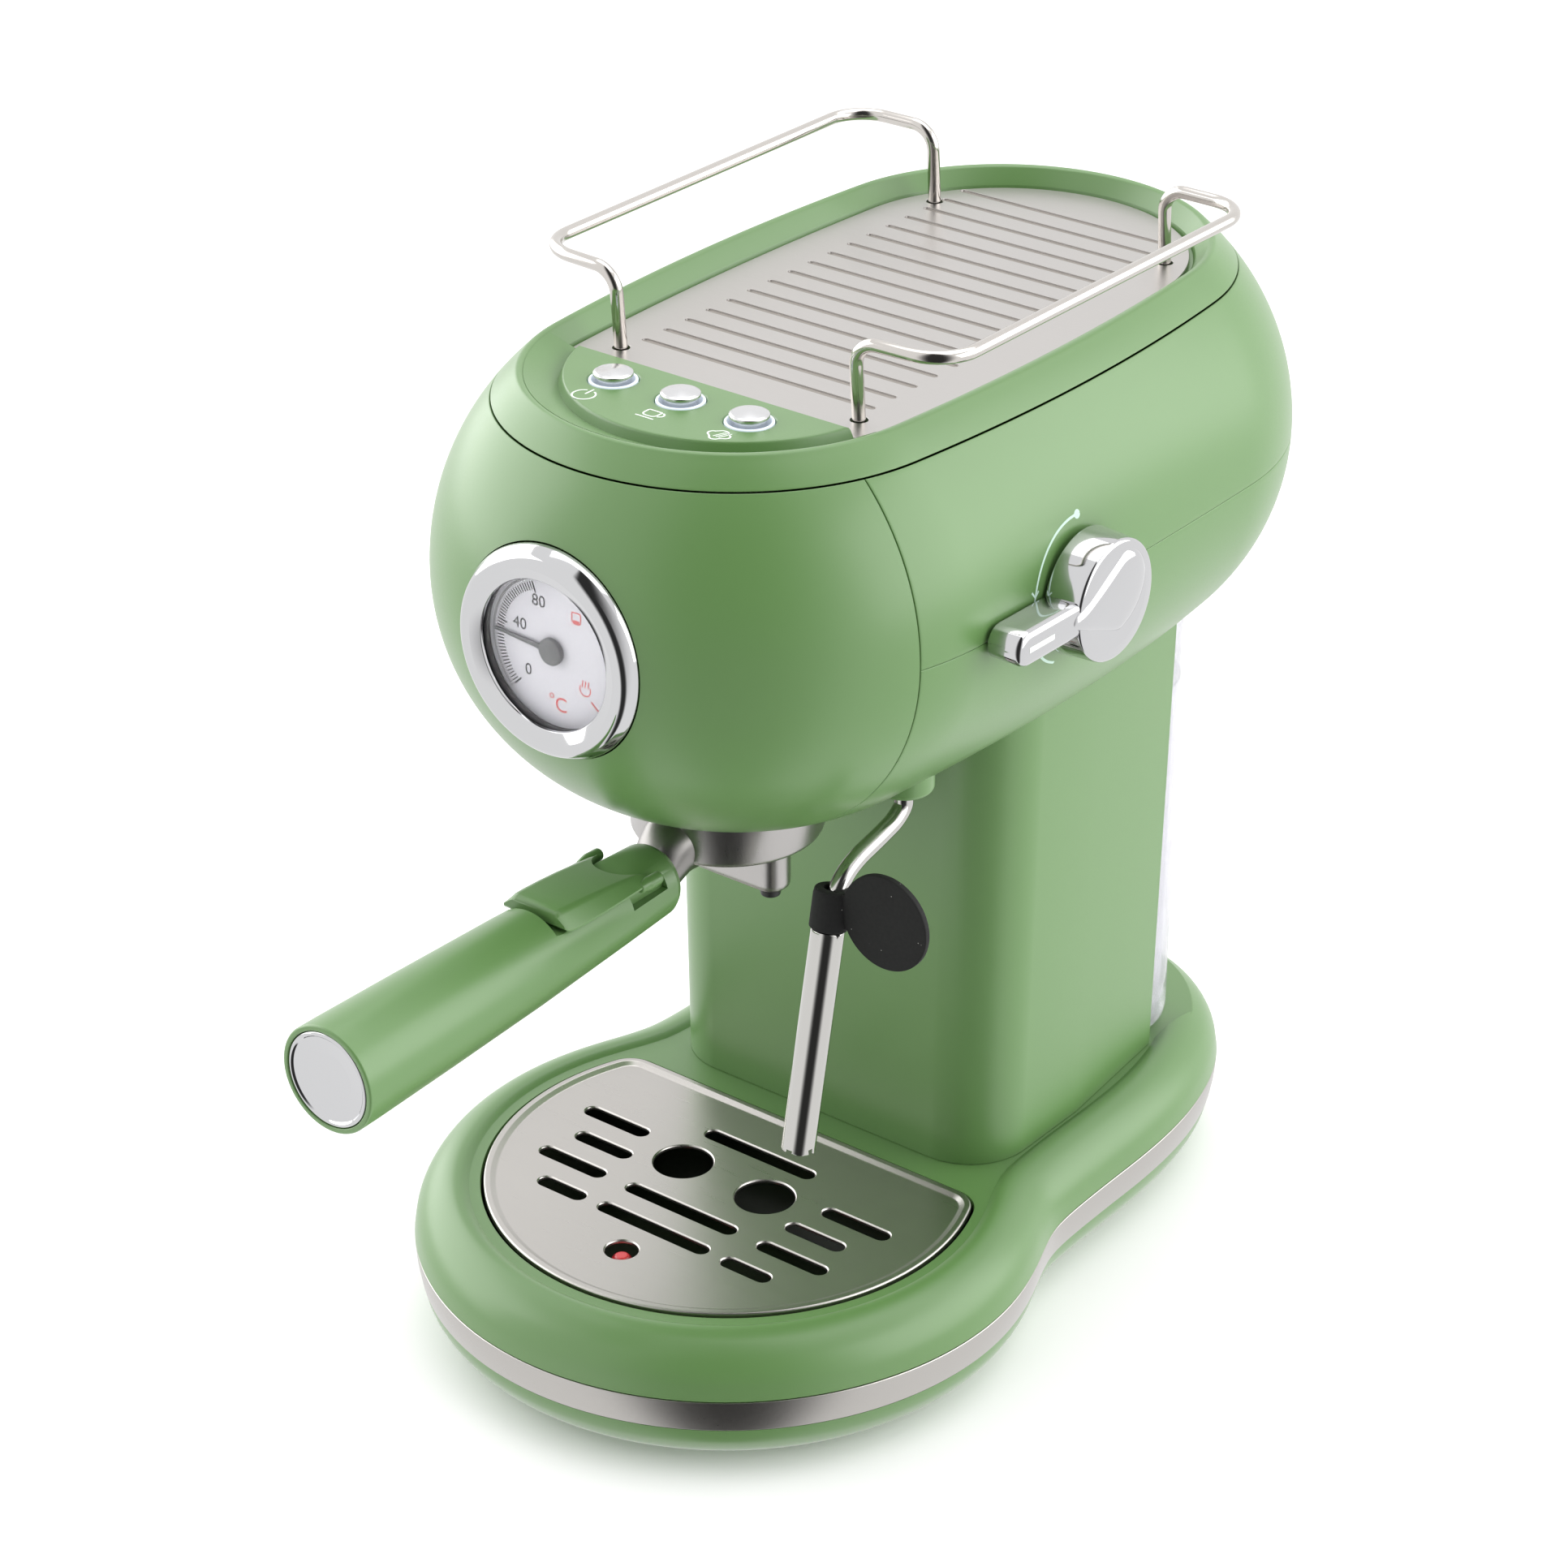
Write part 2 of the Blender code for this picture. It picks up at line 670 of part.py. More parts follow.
def build_top_cover():
    """The rim with its inward slope and the floor under plate and panel."""
    seam = head_width(HEAD_Z_TOP_SEAM)
    rings = [stadium(46.0, FLOOR_Z), stadium(58.6, FLOOR_Z),
             stadium(59.0, 318.6), stadium(CREST_HALF_WIDTH - 0.6, CREST_Z - 0.3),
             stadium(CREST_HALF_WIDTH + 0.6, CREST_Z - 0.3)]
    rings.append(stadium(head_width(320.0), 320.0))
    rings.append(stadium(seam, HEAD_Z_TOP_SEAM))
    rings.append(stadium(seam - 2.6, HEAD_Z_TOP_SEAM))
    rings.append(stadium(seam - 5.2, HEAD_Z_TOP_SEAM + 1.2))
    rings.append(stadium(60.0, 313.8))
    rings.append(stadium(46.0, 313.8))
    cover = loft("top_cover", rings, "green_plastic")
    for name, x in BUTTONS:
        cut(cover, turned("cut_floor_" + name, (x, BUTTON_Y, 305), "z",
                          [(4.0, 0), (4.0, 20)], count=12))
    return cover


BUTTONS = (("power", -BUTTON_PITCH), ("cup", 0.0), ("steam", BUTTON_PITCH))


def build_control_panel():
    """Raised crescent panel with three lit push buttons."""
    rings = [panel_ring(-1.4, FLOOR_Z + GAP), panel_ring(0.3, PANEL_Z - 0.5),
             panel_ring(0.9, PANEL_Z)]
    panel = loft("control_panel", rings, "green_plastic")
    for name, x in BUTTONS:
        spot = (x, BUTTON_Y, 0)
        low = FLOOR_Z - 1
        cut(panel, turned("cut_light_" + name, spot, "z",
                          [(LIGHT_RADIUS + 0.3, low),
                           (LIGHT_RADIUS + 0.3, PANEL_Z + 1)], count=16))
        turned("light_ring_" + name, spot, "z",
               [(LIGHT_RADIUS, FLOOR_Z + GAP), (LIGHT_RADIUS, PANEL_Z + 0.1),
                (BUTTON_RADIUS + 0.2, PANEL_Z + 0.1),
                (BUTTON_RADIUS + 0.2, FLOOR_Z + GAP)],
               "light_plastic", count=16, closed=True)
        press = pivot("pivot_button_" + name, (x, BUTTON_Y, PANEL_Z))
        turned("button_" + name, spot, "z",
               [(3.6, 308.0), (3.6, PANEL_Z - 2.6), (5.4, PANEL_Z - 2.4),
                (5.5, PANEL_Z + 1.6), (BUTTON_RADIUS - 0.2, PANEL_Z + 1.8),
                (BUTTON_RADIUS - 0.1, PANEL_Z + 2.6), (4.0, PANEL_Z + 3.3),
                (1.2, PANEL_Z + 3.5)], "brushed_steel", press, count=16)


def build_warming_plate():
    """Steel plate with pressed grooves, and the two cup rails."""
    front = PLATE_Y_FRONT
    rings = []
    for z in (PLATE_Z - PLATE_THICK, PLATE_Z):
        rings.append([(x, max(y, front), zz) for x, y, zz
                      in stadium(PLATE_HALF_WIDTH, z)])
    plate = loft("warming_plate", clean_front(rings), "brushed_steel")
    for i in range(GROOVE_COUNT):
        y = 15.1 + GROOVE_PITCH * i
        half = 43.0 - max(0.0, y - 150.0) * 0.24
        if i < 2:
            half = 42.0
        cut(plate, box("cut_groove_%02d" % i, (-half, y - 1.4, PLATE_Z - 0.5),
                       (half, y + 1.4, PLATE_Z + 2)))
    for x in (-RAIL_X_POST, RAIL_X_POST):
        for y in (RAIL_Y_FRONT, RAIL_Y_REAR):
            cut(plate, turned("cut_post_%d_%d" % (x, y), (x, y, 310), "z",
                              [(2.7, 0), (2.7, 12)], count=12))
    for name, side in (("rail_left", -1), ("rail_right", 1)):
        foot = FLOOR_Z + GAP
        corners = [(side * RAIL_X_POST, RAIL_Y_FRONT, foot),
                   (side * RAIL_X_POST, RAIL_Y_FRONT, RAIL_Z),
                   (side * RAIL_X_BAR, RAIL_Y_FRONT + 2, RAIL_Z),
                   (side * RAIL_X_BAR, RAIL_Y_REAR - 2, RAIL_Z),
                   (side * RAIL_X_POST, RAIL_Y_REAR, RAIL_Z),
                   (side * RAIL_X_POST, RAIL_Y_REAR, foot)]
        path = rounded(corners, 8.0, 4)
        sweep(name, path, [RAIL_RADIUS] * len(path), "chrome")


def clean_front(rings):
    """Drop the repeated points that clamping leaves on the straight edge."""
    count = len(rings[0])
    keep = []
    for i in range(count):
        x, y, _ = rings[0][i]
        before = rings[0][i - 1]
        after = rings[0][(i + 1) % count]
        flat = y == PLATE_Y_FRONT
        if flat and before[1] == y and after[1] == y:
            continue
        keep.append(i)
    return [[ring[i] for i in keep] for ring in rings]


# ------------------------------------------------------------------ gauge

def build_gauge():
    """Thermometer: case, dial, needle, glass and chrome bezel."""
    spot = (0, 0, GAUGE_Z)
    face = GAUGE_Y_FACE
    turned("gauge_case", spot, "y",
           [(27.9, face + 7.2), (27.9, face + 27.0), (24.0, face + 27.0),
            (24.0, face + 29.0), (12.0, face + 29.0), (12.0, face + 10.6),
            (26.9, face + 10.6), (26.9, face + 7.2)],
           "grey_plastic", count=28, closed=True)
    turned("gauge_dial", spot, "y",
           [(26.5, face + 9.2), (26.5, face + 10.3), (1.9, face + 10.3),
            (1.9, face + 9.2)], "dial_white", count=28, closed=True)
    turned("gauge_glass", spot, "y", [(26.3, face + 3.4), (26.3, face + 4.9)],
           "clear_glass", count=28)
    turned("gauge_bezel", spot, "y",
           [(GAUGE_RADIUS, face + 6.9), (GAUGE_RADIUS, face + 3.0),
            (32.0, face + 0.9), (30.2, face), (27.6, face + 0.1),
            (26.2, face + 0.8), (GAUGE_WINDOW, face + 3.1), (26.8, face + 3.1),
            (26.8, face + 6.9)], "chrome", count=28, closed=True)
    swing = pivot("pivot_needle", (0, face + 8, GAUGE_Z))
    needle = turned("gauge_needle", spot, "y",
                    [(1.5, face + 9.9), (1.5, face + 8.6), (4.2, face + 8.6),
                     (4.2, face + 6.2), (3.4, face + 5.6)], "grey_plastic",
                    swing, count=16)
    a = math.radians(176.0)
    tip = (19.6 * math.cos(a), 19.6 * math.sin(a))
    side = (-math.sin(a), math.cos(a))
    ring = []
    for y in (face + 7.2, face + 8.0):
        ring.append([(side[0] * 0.8, y, GAUGE_Z + side[1] * 0.8),
                     (tip[0], y, GAUGE_Z + tip[1] - 0.25),
                     (tip[0], y, GAUGE_Z + tip[1] + 0.25),
                     (-side[0] * 0.8, y, GAUGE_Z - side[1] * 0.8)])
    join(needle, loft("join_needle", ring))


# ------------------------------------------------- steam valve and wand

def build_steam_knob():
    """Chrome lever knob on the valve's spindle."""
    turn = pivot("pivot_knob", (KNOB_X_BACK, KNOB_Y, HEAD_Z_SIDE_SEAM))
    spot = (0, KNOB_Y, HEAD_Z_SIDE_SEAM)
    knob = turned("steam_knob", spot, "x",
                  [(3.3, 84.0), (3.3, 98.0), (16.5, 98.0),
                   (KNOB_RADIUS, KNOB_X_BACK), (KNOB_RADIUS, KNOB_X_FACE - 1.2),
                   (KNOB_RADIUS - 1.2, KNOB_X_FACE), (10.0, KNOB_X_FACE + 1.6),
                   (3.0, KNOB_X_FACE + 2.2)], "chrome", turn, count=28)
    low = HEAD_Z_SIDE_SEAM - 5.4
    high = HEAD_Z_SIDE_SEAM + 5.4
    tip = KNOB_Y - KNOB_LEVER
    side = []
    for x in (KNOB_X_BACK + 0.2, KNOB_X_FACE):
        side.append([(x, KNOB_Y - 8, low), (x, KNOB_Y - 8, high),
                     (x, tip + 3, high), (x, tip, high - 3),
                     (x, tip, low + 3), (x, tip + 3, low)])
    join(knob, loft("join_lever", side))
    spot = (0, KNOB_Y, HEAD_Z_SIDE_SEAM)
    turned("steam_valve", spot, "x",
           [(12.0, 58.0), (12.0, 80.0), (6.5, 80.0), (6.5, 84.0), (4.6, 84.0),
            (4.6, 92.5), (3.5, 92.5), (3.5, 70.0), (2.0, 70.0), (2.0, 58.0)],
           "brass_valve", count=16, closed=True)


def build_wand():
    """Swivelling steam tube with rubber collar and frothing sleeve."""
    turned("wand_boss", (WAND_X, WAND_Y, 0), "z",
           [(8.4, 197.5), (9.2, 198.4), (9.2, 203.6), (3.8, 203.6),
            (3.8, 197.5)], "green_plastic", count=20, closed=True)
    boss = bpy.data.objects["wand_boss"]
    cut(boss, head_solid("cut_boss_top", GAP))
    neck = turned("join_boss_neck", (WAND_X, WAND_Y, 0), "z",
                  [(6.8, 198.5), (6.8, 214.0), (3.8, 214.0), (3.8, 198.5)],
                  count=20, closed=True)
    join(boss, neck)
    swing = pivot("pivot_wand", (WAND_X, WAND_Y, WAND_Z))
    start = Vector((WAND_X, WAND_Y, 218.0))
    knee = Vector((WAND_X, WAND_Y, 193.0))
    elbow = Vector((WAND_X, -24.2, 185.3))
    tip = Vector((WAND_X, -41.9, 98.5))
    down = (tip - elbow).normalized()
    path = rounded([start, knee, elbow, elbow + down * 82], 5.0, 5)
    sweep("steam_tube", path, [TUBE_RADIUS] * len(path), "chrome", swing)
    grip_a = elbow + down * 3.4
    grip_b = elbow + down * 15.8
    grip = hollow_bar("wand_grip", grip_a, grip_b, 5.9, TUBE_RADIUS + 0.3,
                      "black_rubber", swing)
    tab = turned("join_tab", (WAND_X + 20.6, 0, 178.4), "y",
                 [(15.4, -27.6), (15.4, -25.4)], count=28)
    web = box("join_web", (WAND_X + 1, -27.6, 172.6), (WAND_X + 10, -25.4, 182.0))
    bore = sweep("cut_tab", [grip_a - down * 8, grip_b + down * 8],
                 [TUBE_RADIUS + 0.3] * 2, detail=2)
    join(grip, tab, web)
    cut(grip, bore)
    pull = pivot("pivot_sleeve", tuple(elbow + down * 17), swing)
    sleeve = hollow_bar("frother_sleeve", elbow + down * 16.2,
                        elbow + down * 88.0, SLEEVE_RADIUS, TUBE_RADIUS + 0.3,
                        "chrome", pull)
    nick = elbow + down * 88.0
    for i, (dx, dy) in enumerate(((-1, 0), (1, 0))):
        low = (nick.x + dx * 4.2 - 1.2, nick.y - 8, nick.z - 2)
        high = (nick.x + dx * 4.2 + 1.2, nick.y + 8, nick.z + 2.4)
        cut(sleeve, box("cut_nick_%d" % i, low, high))


def hollow_bar(name, start, end, outer, inner, surface, parent):
    """A straight tube between two points."""
    aim = (end - start).normalized()
    side = aim.orthogonal().normalized()
    up = aim.cross(side)
    rings = []
    for spot, radius in ((start, outer), (end, outer), (end, inner),
                         (start, inner)):
        ring = []
        for j in range(20):
            a = 2 * math.pi * j / 20
            offset = side * math.cos(a) + up * math.sin(a)
            ring.append(tuple(spot + offset * radius))
        rings.append(ring)
    return loft(name, rings, surface, parent, closed=True)


# ------------------------------------------------ group and filter holder

def build_group():
    """Brewing group fixed in the head: casting, gasket, screen, screw."""
    turned("group_head", (0, 0, 0), "z",
           [(31.2, 191.0), (31.2, 194.3), (34.2, 194.6), (34.2, 212.0),
            (18.0, 212.0), (18.0, 200.6), (32.6, 200.6), (32.6, 194.9),
            (29.2, 194.9), (29.2, 191.0)],
           "cast_aluminium", count=28, closed=True)
    group = bpy.data.objects["group_head"]
    for side, label in ((-1, "left"), (1, "right")):
        notch = []
        for z in (190.0, 195.2):
            ring = []
            for along, across in ((27, -8), (32, -8), (32, 8), (27, 8)):
                x = side * (along + across) * math.sqrt(0.5)
                y = side * (across - along) * math.sqrt(0.5)
                ring.append((x, y, z))
            notch.append(ring)
        cut(group, loft("cut_entry_" + label, notch))
    turned("group_gasket", (0, 0, 0), "z",
           [(29.6, 197.6), (29.6, 200.3), (25.2, 200.3), (25.2, 197.6)],
           "black_rubber", count=28, closed=True)
    turned("shower_screen", (0, 0, 0), "z",
           [(24.4, 197.4), (24.4, 200.2), (3.2, 200.2), (3.2, 197.4)],
           "brushed_steel", count=28, closed=True)
    turned("shower_screw", (0, 0, 0), "z",
           [(4.6, 195.4), (4.6, 197.1), (2.7, 197.1), (2.7, 206.0)],
           "brushed_steel", count=14)
    turned("boiler", (0, 0, 0), "z",
           [(34.0, 212.6), (34.0, 216.0), (40.0, 216.0), (40.0, 262.0),
            (34.0, 272.0), (12.0, 275.0)], "cast_aluminium", count=20)


def build_portafilter():
    """Filter holder with basket, twin spout, handle and filter clip."""
    lock = pivot("pivot_portafilter", (0, 0, 190))
    body = turned("portafilter_body", (0, 0, 0), "z",
                  [(27.0, RING_Z_LOW), (29.6, RING_Z_LOW + 1.4),
                   (RING_RADIUS, RING_Z_LOW + 4.0), (RING_RADIUS, RING_Z_HIGH),
                   (28.6, RING_Z_HIGH + 0.4), (28.6, 196.2), (27.4, 196.2),
                   (27.4, 176.6)], "cast_aluminium", lock, count=28)
    cut(body, turned("cut_body", (0, 0, 0), "z", [(27.2, 177.0), (27.2, 200.0)],
                     count=28))
    cut(body, turned("cut_body_floor", (0, 0, 0), "z",
                     [(4.0, 170.0), (4.0, 180.0)], count=12))
    lugs = box("join_lugs", (-31.0, -7.0, 195.2), (31.0, 7.0, 196.1))
    bore = turned("cut_lugs", (0, 0, 0), "z", [(28.0, 190.0), (28.0, 200.0)],
                  count=28)
    cut(lugs, bore)
    neck = sweep("join_neck", [(0, -28.4, 173.0), (0, -33.5, 171.0),
                               (0, -36.0, HANDLE_Z_NECK),
                               (0, -47.0, HANDLE_Z_NECK)],
                 [8.4, 8.0, 7.1, 5.9], detail=2)
    join(body, neck)
    turned("filter_basket", (0, 0, 0), "z",
           [(26.0, 178.2), (26.0, 196.5), (28.2, 196.5), (28.2, 197.2),
            (25.4, 197.2), (25.4, 178.8), (3.0, 178.8), (3.0, 178.2)],
           "brushed_steel", lock, count=28, closed=True)
    build_spout(lock)
    build_handle(lock)


def build_spout(lock):
    """Twin spout under the filter holder."""
    ring = []
    for i in range(9):
        a = -math.pi / 2 + math.pi * i / 8
        ring.append((17.0 + 6.0 * math.cos(a), 6.0 * math.sin(a)))
    for i in range(9):
        a = math.pi / 2 + math.pi * i / 8
        ring.append((-17.0 + 6.0 * math.cos(a), 6.0 * math.sin(a)))
    low = [(x * 0.985, y * 0.94, SPOUT_Z) for x, y in ring]
    mid = [(x, y, SPOUT_Z + 1.0) for x, y in ring]
    high = [(x, y, RING_Z_LOW - GAP) for x, y in ring]
    spout = loft("spout_block", [low, mid, high], "cast_aluminium", lock)
    cut(spout, box("cut_spout_duct", (-19.0, -2.6, 166.0), (19.0, 2.6, 180.0)))
    for side, label in ((-1, "left"), (1, "right")):
        spot = (side * SPOUT_X, 0, 0)
        cut(spout, turned("cut_outlet_" + label, spot, "z",
                          [(2.2, SPOUT_Z - 3), (2.2, 168.0)], count=12))
        turned("spout_tip_" + label, spot, "z",
               [(3.2, SPOUT_Z - GAP), (2.7, SPOUT_Z - 2.2), (1.5, SPOUT_Z - 2.2),
                (1.5, SPOUT_Z - GAP)], "black_rubber", lock, count=16,
               closed=True)


def handle_ring(y, radius, count=20):
    """One section of the handle, on its slightly drooping axis."""
    t = (y - HANDLE_Y_NECK) / (HANDLE_Y_END - HANDLE_Y_NECK)
    z = HANDLE_Z_NECK + (HANDLE_Z_END - HANDLE_Z_NECK) * t
    angles = [2 * math.pi * i / count for i in range(count)]
    return [(radius * math.cos(a), y, z + radius * math.sin(a)) for a in angles]


def build_handle(lock):
    """Tapered handle, chrome end cap and the thumb clip on its pin."""
    sections = [(-51.0, 6.3), (HANDLE_Y_NECK - 0.5, 7.6), (HANDLE_Y_NECK, 9.0),
                (HANDLE_Y_NECK, 10.6), (HANDLE_Y_NECK - 2.0, HANDLE_R_NECK),
                (-60.0, 13.0), (-100.0, 14.8), (-140.0, 16.0),
                (HANDLE_Y_END + 6, HANDLE_R_END), (HANDLE_Y_END, HANDLE_R_END),
                (HANDLE_Y_END, 15.2), (HANDLE_Y_END + 3.6, 15.0)]
    rings = [handle_ring(y, r) for y, r in sections]
    handle = loft("portafilter_handle", rings, "green_plastic", lock)
    top = HANDLE_Z_NECK + 8.6
    cut(handle, box("cut_clip_flat", (-14, -92, top), (14, -44, top + 12)))
    cut(handle, box("cut_clip_swing", (-14, -52, top - 1.0), (14, -44, top + 12)))
    cut(handle, turned("cut_clip_pin", (-20, -50, top - 2.2), "x",
                       [(1.6, 0), (1.6, 40)], count=10))
    turned("handle_end_cap", (0, 0, HANDLE_Z_END), "y",
           [(14.6, HANDLE_Y_END + 3.2), (14.8, HANDLE_Y_END + 0.4),
            (13.4, HANDLE_Y_END + 0.1), (11.8, HANDLE_Y_END + 1.6),
            (3.0, HANDLE_Y_END + 2.4)], "chrome", lock, count=28)
    swing = pivot("pivot_clip", (0, -50, top - 2.2), lock)
    clip = clip_plate(top)
    clip = loft("filter_clip", clip, "green_plastic", swing)
    ears = []
    for side, label in ((-1, "left"), (1, "right")):
        spot = (side * 11.6, -50, top - 2.2)
        ears.append(turned("join_ear_" + label, spot, "x",
                           [(4.0, -1.1), (4.0, 1.1)], count=14))
    slot_low = (-13.6, -60, top - 6.4)
    ear_room = box("cut_ear_room", slot_low, (13.6, -44, top + 12))
    core = box("join_core", (-9.8, -61, top - 8), (9.8, -43, top + 1))
    cut(ear_room, core)
    cut(handle, ear_room)
    join(clip, *ears)
    cut(clip, turned("cut_clip_bore", (-20, -50, top - 2.2), "x",
                     [(1.6, 0), (1.6, 40)], count=10))
    turned("clip_pin", (0, -50, top - 2.2), "x",
           [(1.3, -13.0), (1.3, 13.0)], "brushed_steel", lock, count=10)


def clip_plate(top):
    """Rings of the thumb clip: a plate that thickens towards its free end."""
    rings = []
    for y, low, high, half in ((-50.0, 0.4, 1.6, 12.7), (-54.0, 0.4, 2.9, 12.7),
                               (-70.0, 0.4, 4.2, 12.9), (-86.0, 0.4, 5.0, 12.4),
                               (-90.5, 1.4, 5.2, 11.0)):
        z0 = top + low
        z1 = top + high
        rings.append([(-half, y, z0), (half, y, z0), (half, y, z0 + 0.4),
                      (half * 0.72, y, z1), (-half * 0.72, y, z1),
                      (-half, y, z0 + 0.4)])
    return rings


# ---------------------------------------------------------------- insides

def build_insides():
    """Frame, pump, board and cable gland, which the shells hide."""
    frame = box("inner_frame", (-24, 71, 47.2), (24, 74, 232), "brushed_steel")
    join(frame, box("join_frame_back", (-24, 97, 47.2), (24, 100, 232)),
         box("join_frame_side", (-24, 71, 47.2), (-21, 100, 232)),
         box("join_frame_foot", (-34, 62, 47.2), (34, 104, 49.6)),
         box("join_frame_top", (-46, 46, 229.4), (46, 140, 232)))
    turned("pump", (18, 0, 243.2), "y",
           [(6.0, 56.0), (11.0, 62.0), (11.0, 76.0), (10.0, 78.0),
            (10.0, 104.0), (5.0, 108.0)], "black_plastic", count=18)
    box("control_board", (-42, 64, 233.2), (-2, 128, 234.8), "board_green")
    turned("cord_gland", (0, 0, 26.0), "y",
           [(4.4, 200.0), (4.4, 220.6), (7.4, 220.6), (7.4, 224.0),
            (6.0, 226.6), (3.2, 226.6), (3.2, 200.0)], "black_rubber",
           count=18, closed=True)
    hole = turned("cut_gland", (0, 0, 26.0), "y", [(4.8, 190.0), (4.8, 240.0)],
                  count=18)
    cut(bpy.data.objects["base_band"], hole)
    cut(bpy.data.objects["base_cover"], hole)


def centre_machine():
    """Move the machine so its bounding box stands centred on the origin."""
    bpy.context.view_layer.update()
    graph = bpy.context.evaluated_depsgraph_get()
    low = Vector((1e9, 1e9, 1e9))
    high = Vector((-1e9, -1e9, -1e9))
    for item in PARTS.objects:
        if item.type != "MESH":
            continue
        shown = item.evaluated_get(graph)
        mesh = shown.to_mesh()
        for vertex in mesh.vertices:
            spot = shown.matrix_world @ vertex.co
            low = Vector(map(min, low, spot))
            high = Vector(map(max, high, spot))
        shown.to_mesh_clear()
    ROOT.location = (-(low.x + high.x) / 2, -(low.y + high.y) / 2, -low.z)
    for item in list(PARTS.objects):
        if item.type == "EMPTY" and item is not ROOT and item.parent is None:
            item.parent = ROOT
    bpy.context.view_layer.update()


def main():
    """Build every part in place."""
    build_base()
    build_drip_tray()
    build_column()
    build_tank()
    build_head()
    build_top_cover()
    build_control_panel()
    build_warming_plate()
    build_gauge()
    build_steam_knob()
    build_wand()
    build_group()
    build_portafilter()
    build_insides()
    centre_machine()


main()
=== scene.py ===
"""The looks of a retro espresso machine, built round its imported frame.

Every class below is one sub-assembly. It holds its sizes as fields, in
millimetres about the datum (the brewing axis, at the underside of the feet:
-y is the front, +x the side with the steam lever), and has methods that
build its meshes and dress them.
"""

import logging
import math
from dataclasses import dataclass
from enum import Enum
from typing import Callable, Sequence

import bmesh
import bpy
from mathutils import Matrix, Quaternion, Vector


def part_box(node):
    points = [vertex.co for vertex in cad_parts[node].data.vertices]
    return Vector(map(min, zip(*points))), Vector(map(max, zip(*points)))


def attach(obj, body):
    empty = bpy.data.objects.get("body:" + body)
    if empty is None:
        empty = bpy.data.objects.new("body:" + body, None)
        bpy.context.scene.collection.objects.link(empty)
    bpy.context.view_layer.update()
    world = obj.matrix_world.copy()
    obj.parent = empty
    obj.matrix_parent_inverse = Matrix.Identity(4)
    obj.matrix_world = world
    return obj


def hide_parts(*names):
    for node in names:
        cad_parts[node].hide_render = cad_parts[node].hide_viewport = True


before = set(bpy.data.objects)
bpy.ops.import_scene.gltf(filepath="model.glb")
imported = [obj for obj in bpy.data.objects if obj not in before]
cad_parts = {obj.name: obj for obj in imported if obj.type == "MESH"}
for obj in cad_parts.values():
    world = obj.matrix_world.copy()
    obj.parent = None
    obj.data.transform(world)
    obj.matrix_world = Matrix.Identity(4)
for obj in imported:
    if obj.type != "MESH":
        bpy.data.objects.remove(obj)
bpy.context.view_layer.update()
LOG = logging.getLogger("espresso_machine")
MM = 0.001
# Points nearer than this, in metres, are merged.
WELD = 0.000002
# Edges sharper than this stay sharp, unless a piece says otherwise.
CREASE_DEG = 40.0
Point = tuple[float, float, float]
Ring = list[Point]
Outline = list[tuple[float, float]]
# Pairs, or triples whose third number is the radius that rounds the corner.
Corners = Sequence[tuple[float, ...]]
# Gives the point at two places on a surface, and a height above it or a depth below it.
Surface = Callable[[float, float, float], Point]


class Axis(Enum):
    """The direction that a turned piece's axis points in."""

    X = (0.0, math.pi / 2, 0.0)
    Y = (-math.pi / 2, 0.0, 0.0)
    Z = (0.0, 0.0, 0.0)


class Side(Enum):
    """Left and right, seen from the front."""

    LEFT = -1
    RIGHT = 1


@dataclass(frozen=True)
class Datum:
    """The brewing axis at the underside of the feet, in metres."""

    x: float
    y: float
    z: float

    @classmethod
    def from_frame(cls) -> "Datum":
        """Reads the datum off the brewing group and a foot.

        Returns:
            The datum of this machine.
        """
        low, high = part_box("group_head")
        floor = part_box("foot_front_left")[0].z
        return cls((low.x + high.x) / 2, (low.y + high.y) / 2, floor)

    def place(self, spot: Sequence[float]) -> Vector:
        """Turns a place in millimetres into the frame's metres.

        Args:
            spot: The place about the datum, in millimetres.

        Returns:
            The place in the frame, in metres.
        """
        return Vector((self.x, self.y, self.z)) + Vector(spot) * MM


DATUM = Datum.from_frame()


# ------------------------------------------------------------------ finishes


class Nodes:
    """A short way to add and link nodes in one tree."""

    def __init__(self, tree: bpy.types.NodeTree) -> None:
        """Keeps the tree that the nodes go in."""
        self.tree = tree

    def add(self, kind: str, **settings: object) -> bpy.types.Node:
        """Adds a node.

        Args:
            kind: The node's type name.
            settings: Properties to set on the node.

        Returns:
            The new node.
        """
        made = self.tree.nodes.new(kind)
        for key, value in settings.items():
            setattr(made, key, value)
        return made

    def link(self, source: bpy.types.NodeSocket, target: bpy.types.NodeSocket) -> None:
        """Joins an output to an input."""
        self.tree.links.new(source, target)

    def math(self, operation: str, first: object, second: object) -> bpy.types.NodeSocket:
        """Adds a Math node whose inputs are sockets or numbers.

        Args:
            operation: The Math node's operation.
            first: A socket or a number.
            second: A socket or a number.

        Returns:
            The node's output socket.
        """
        made = self.add("ShaderNodeMath", operation=operation)
        for slot, value in enumerate((first, second)):
            if isinstance(value, bpy.types.NodeSocket):
                self.link(value, made.inputs[slot])
            else:
                made.inputs[slot].default_value = value
        return made.outputs[0]


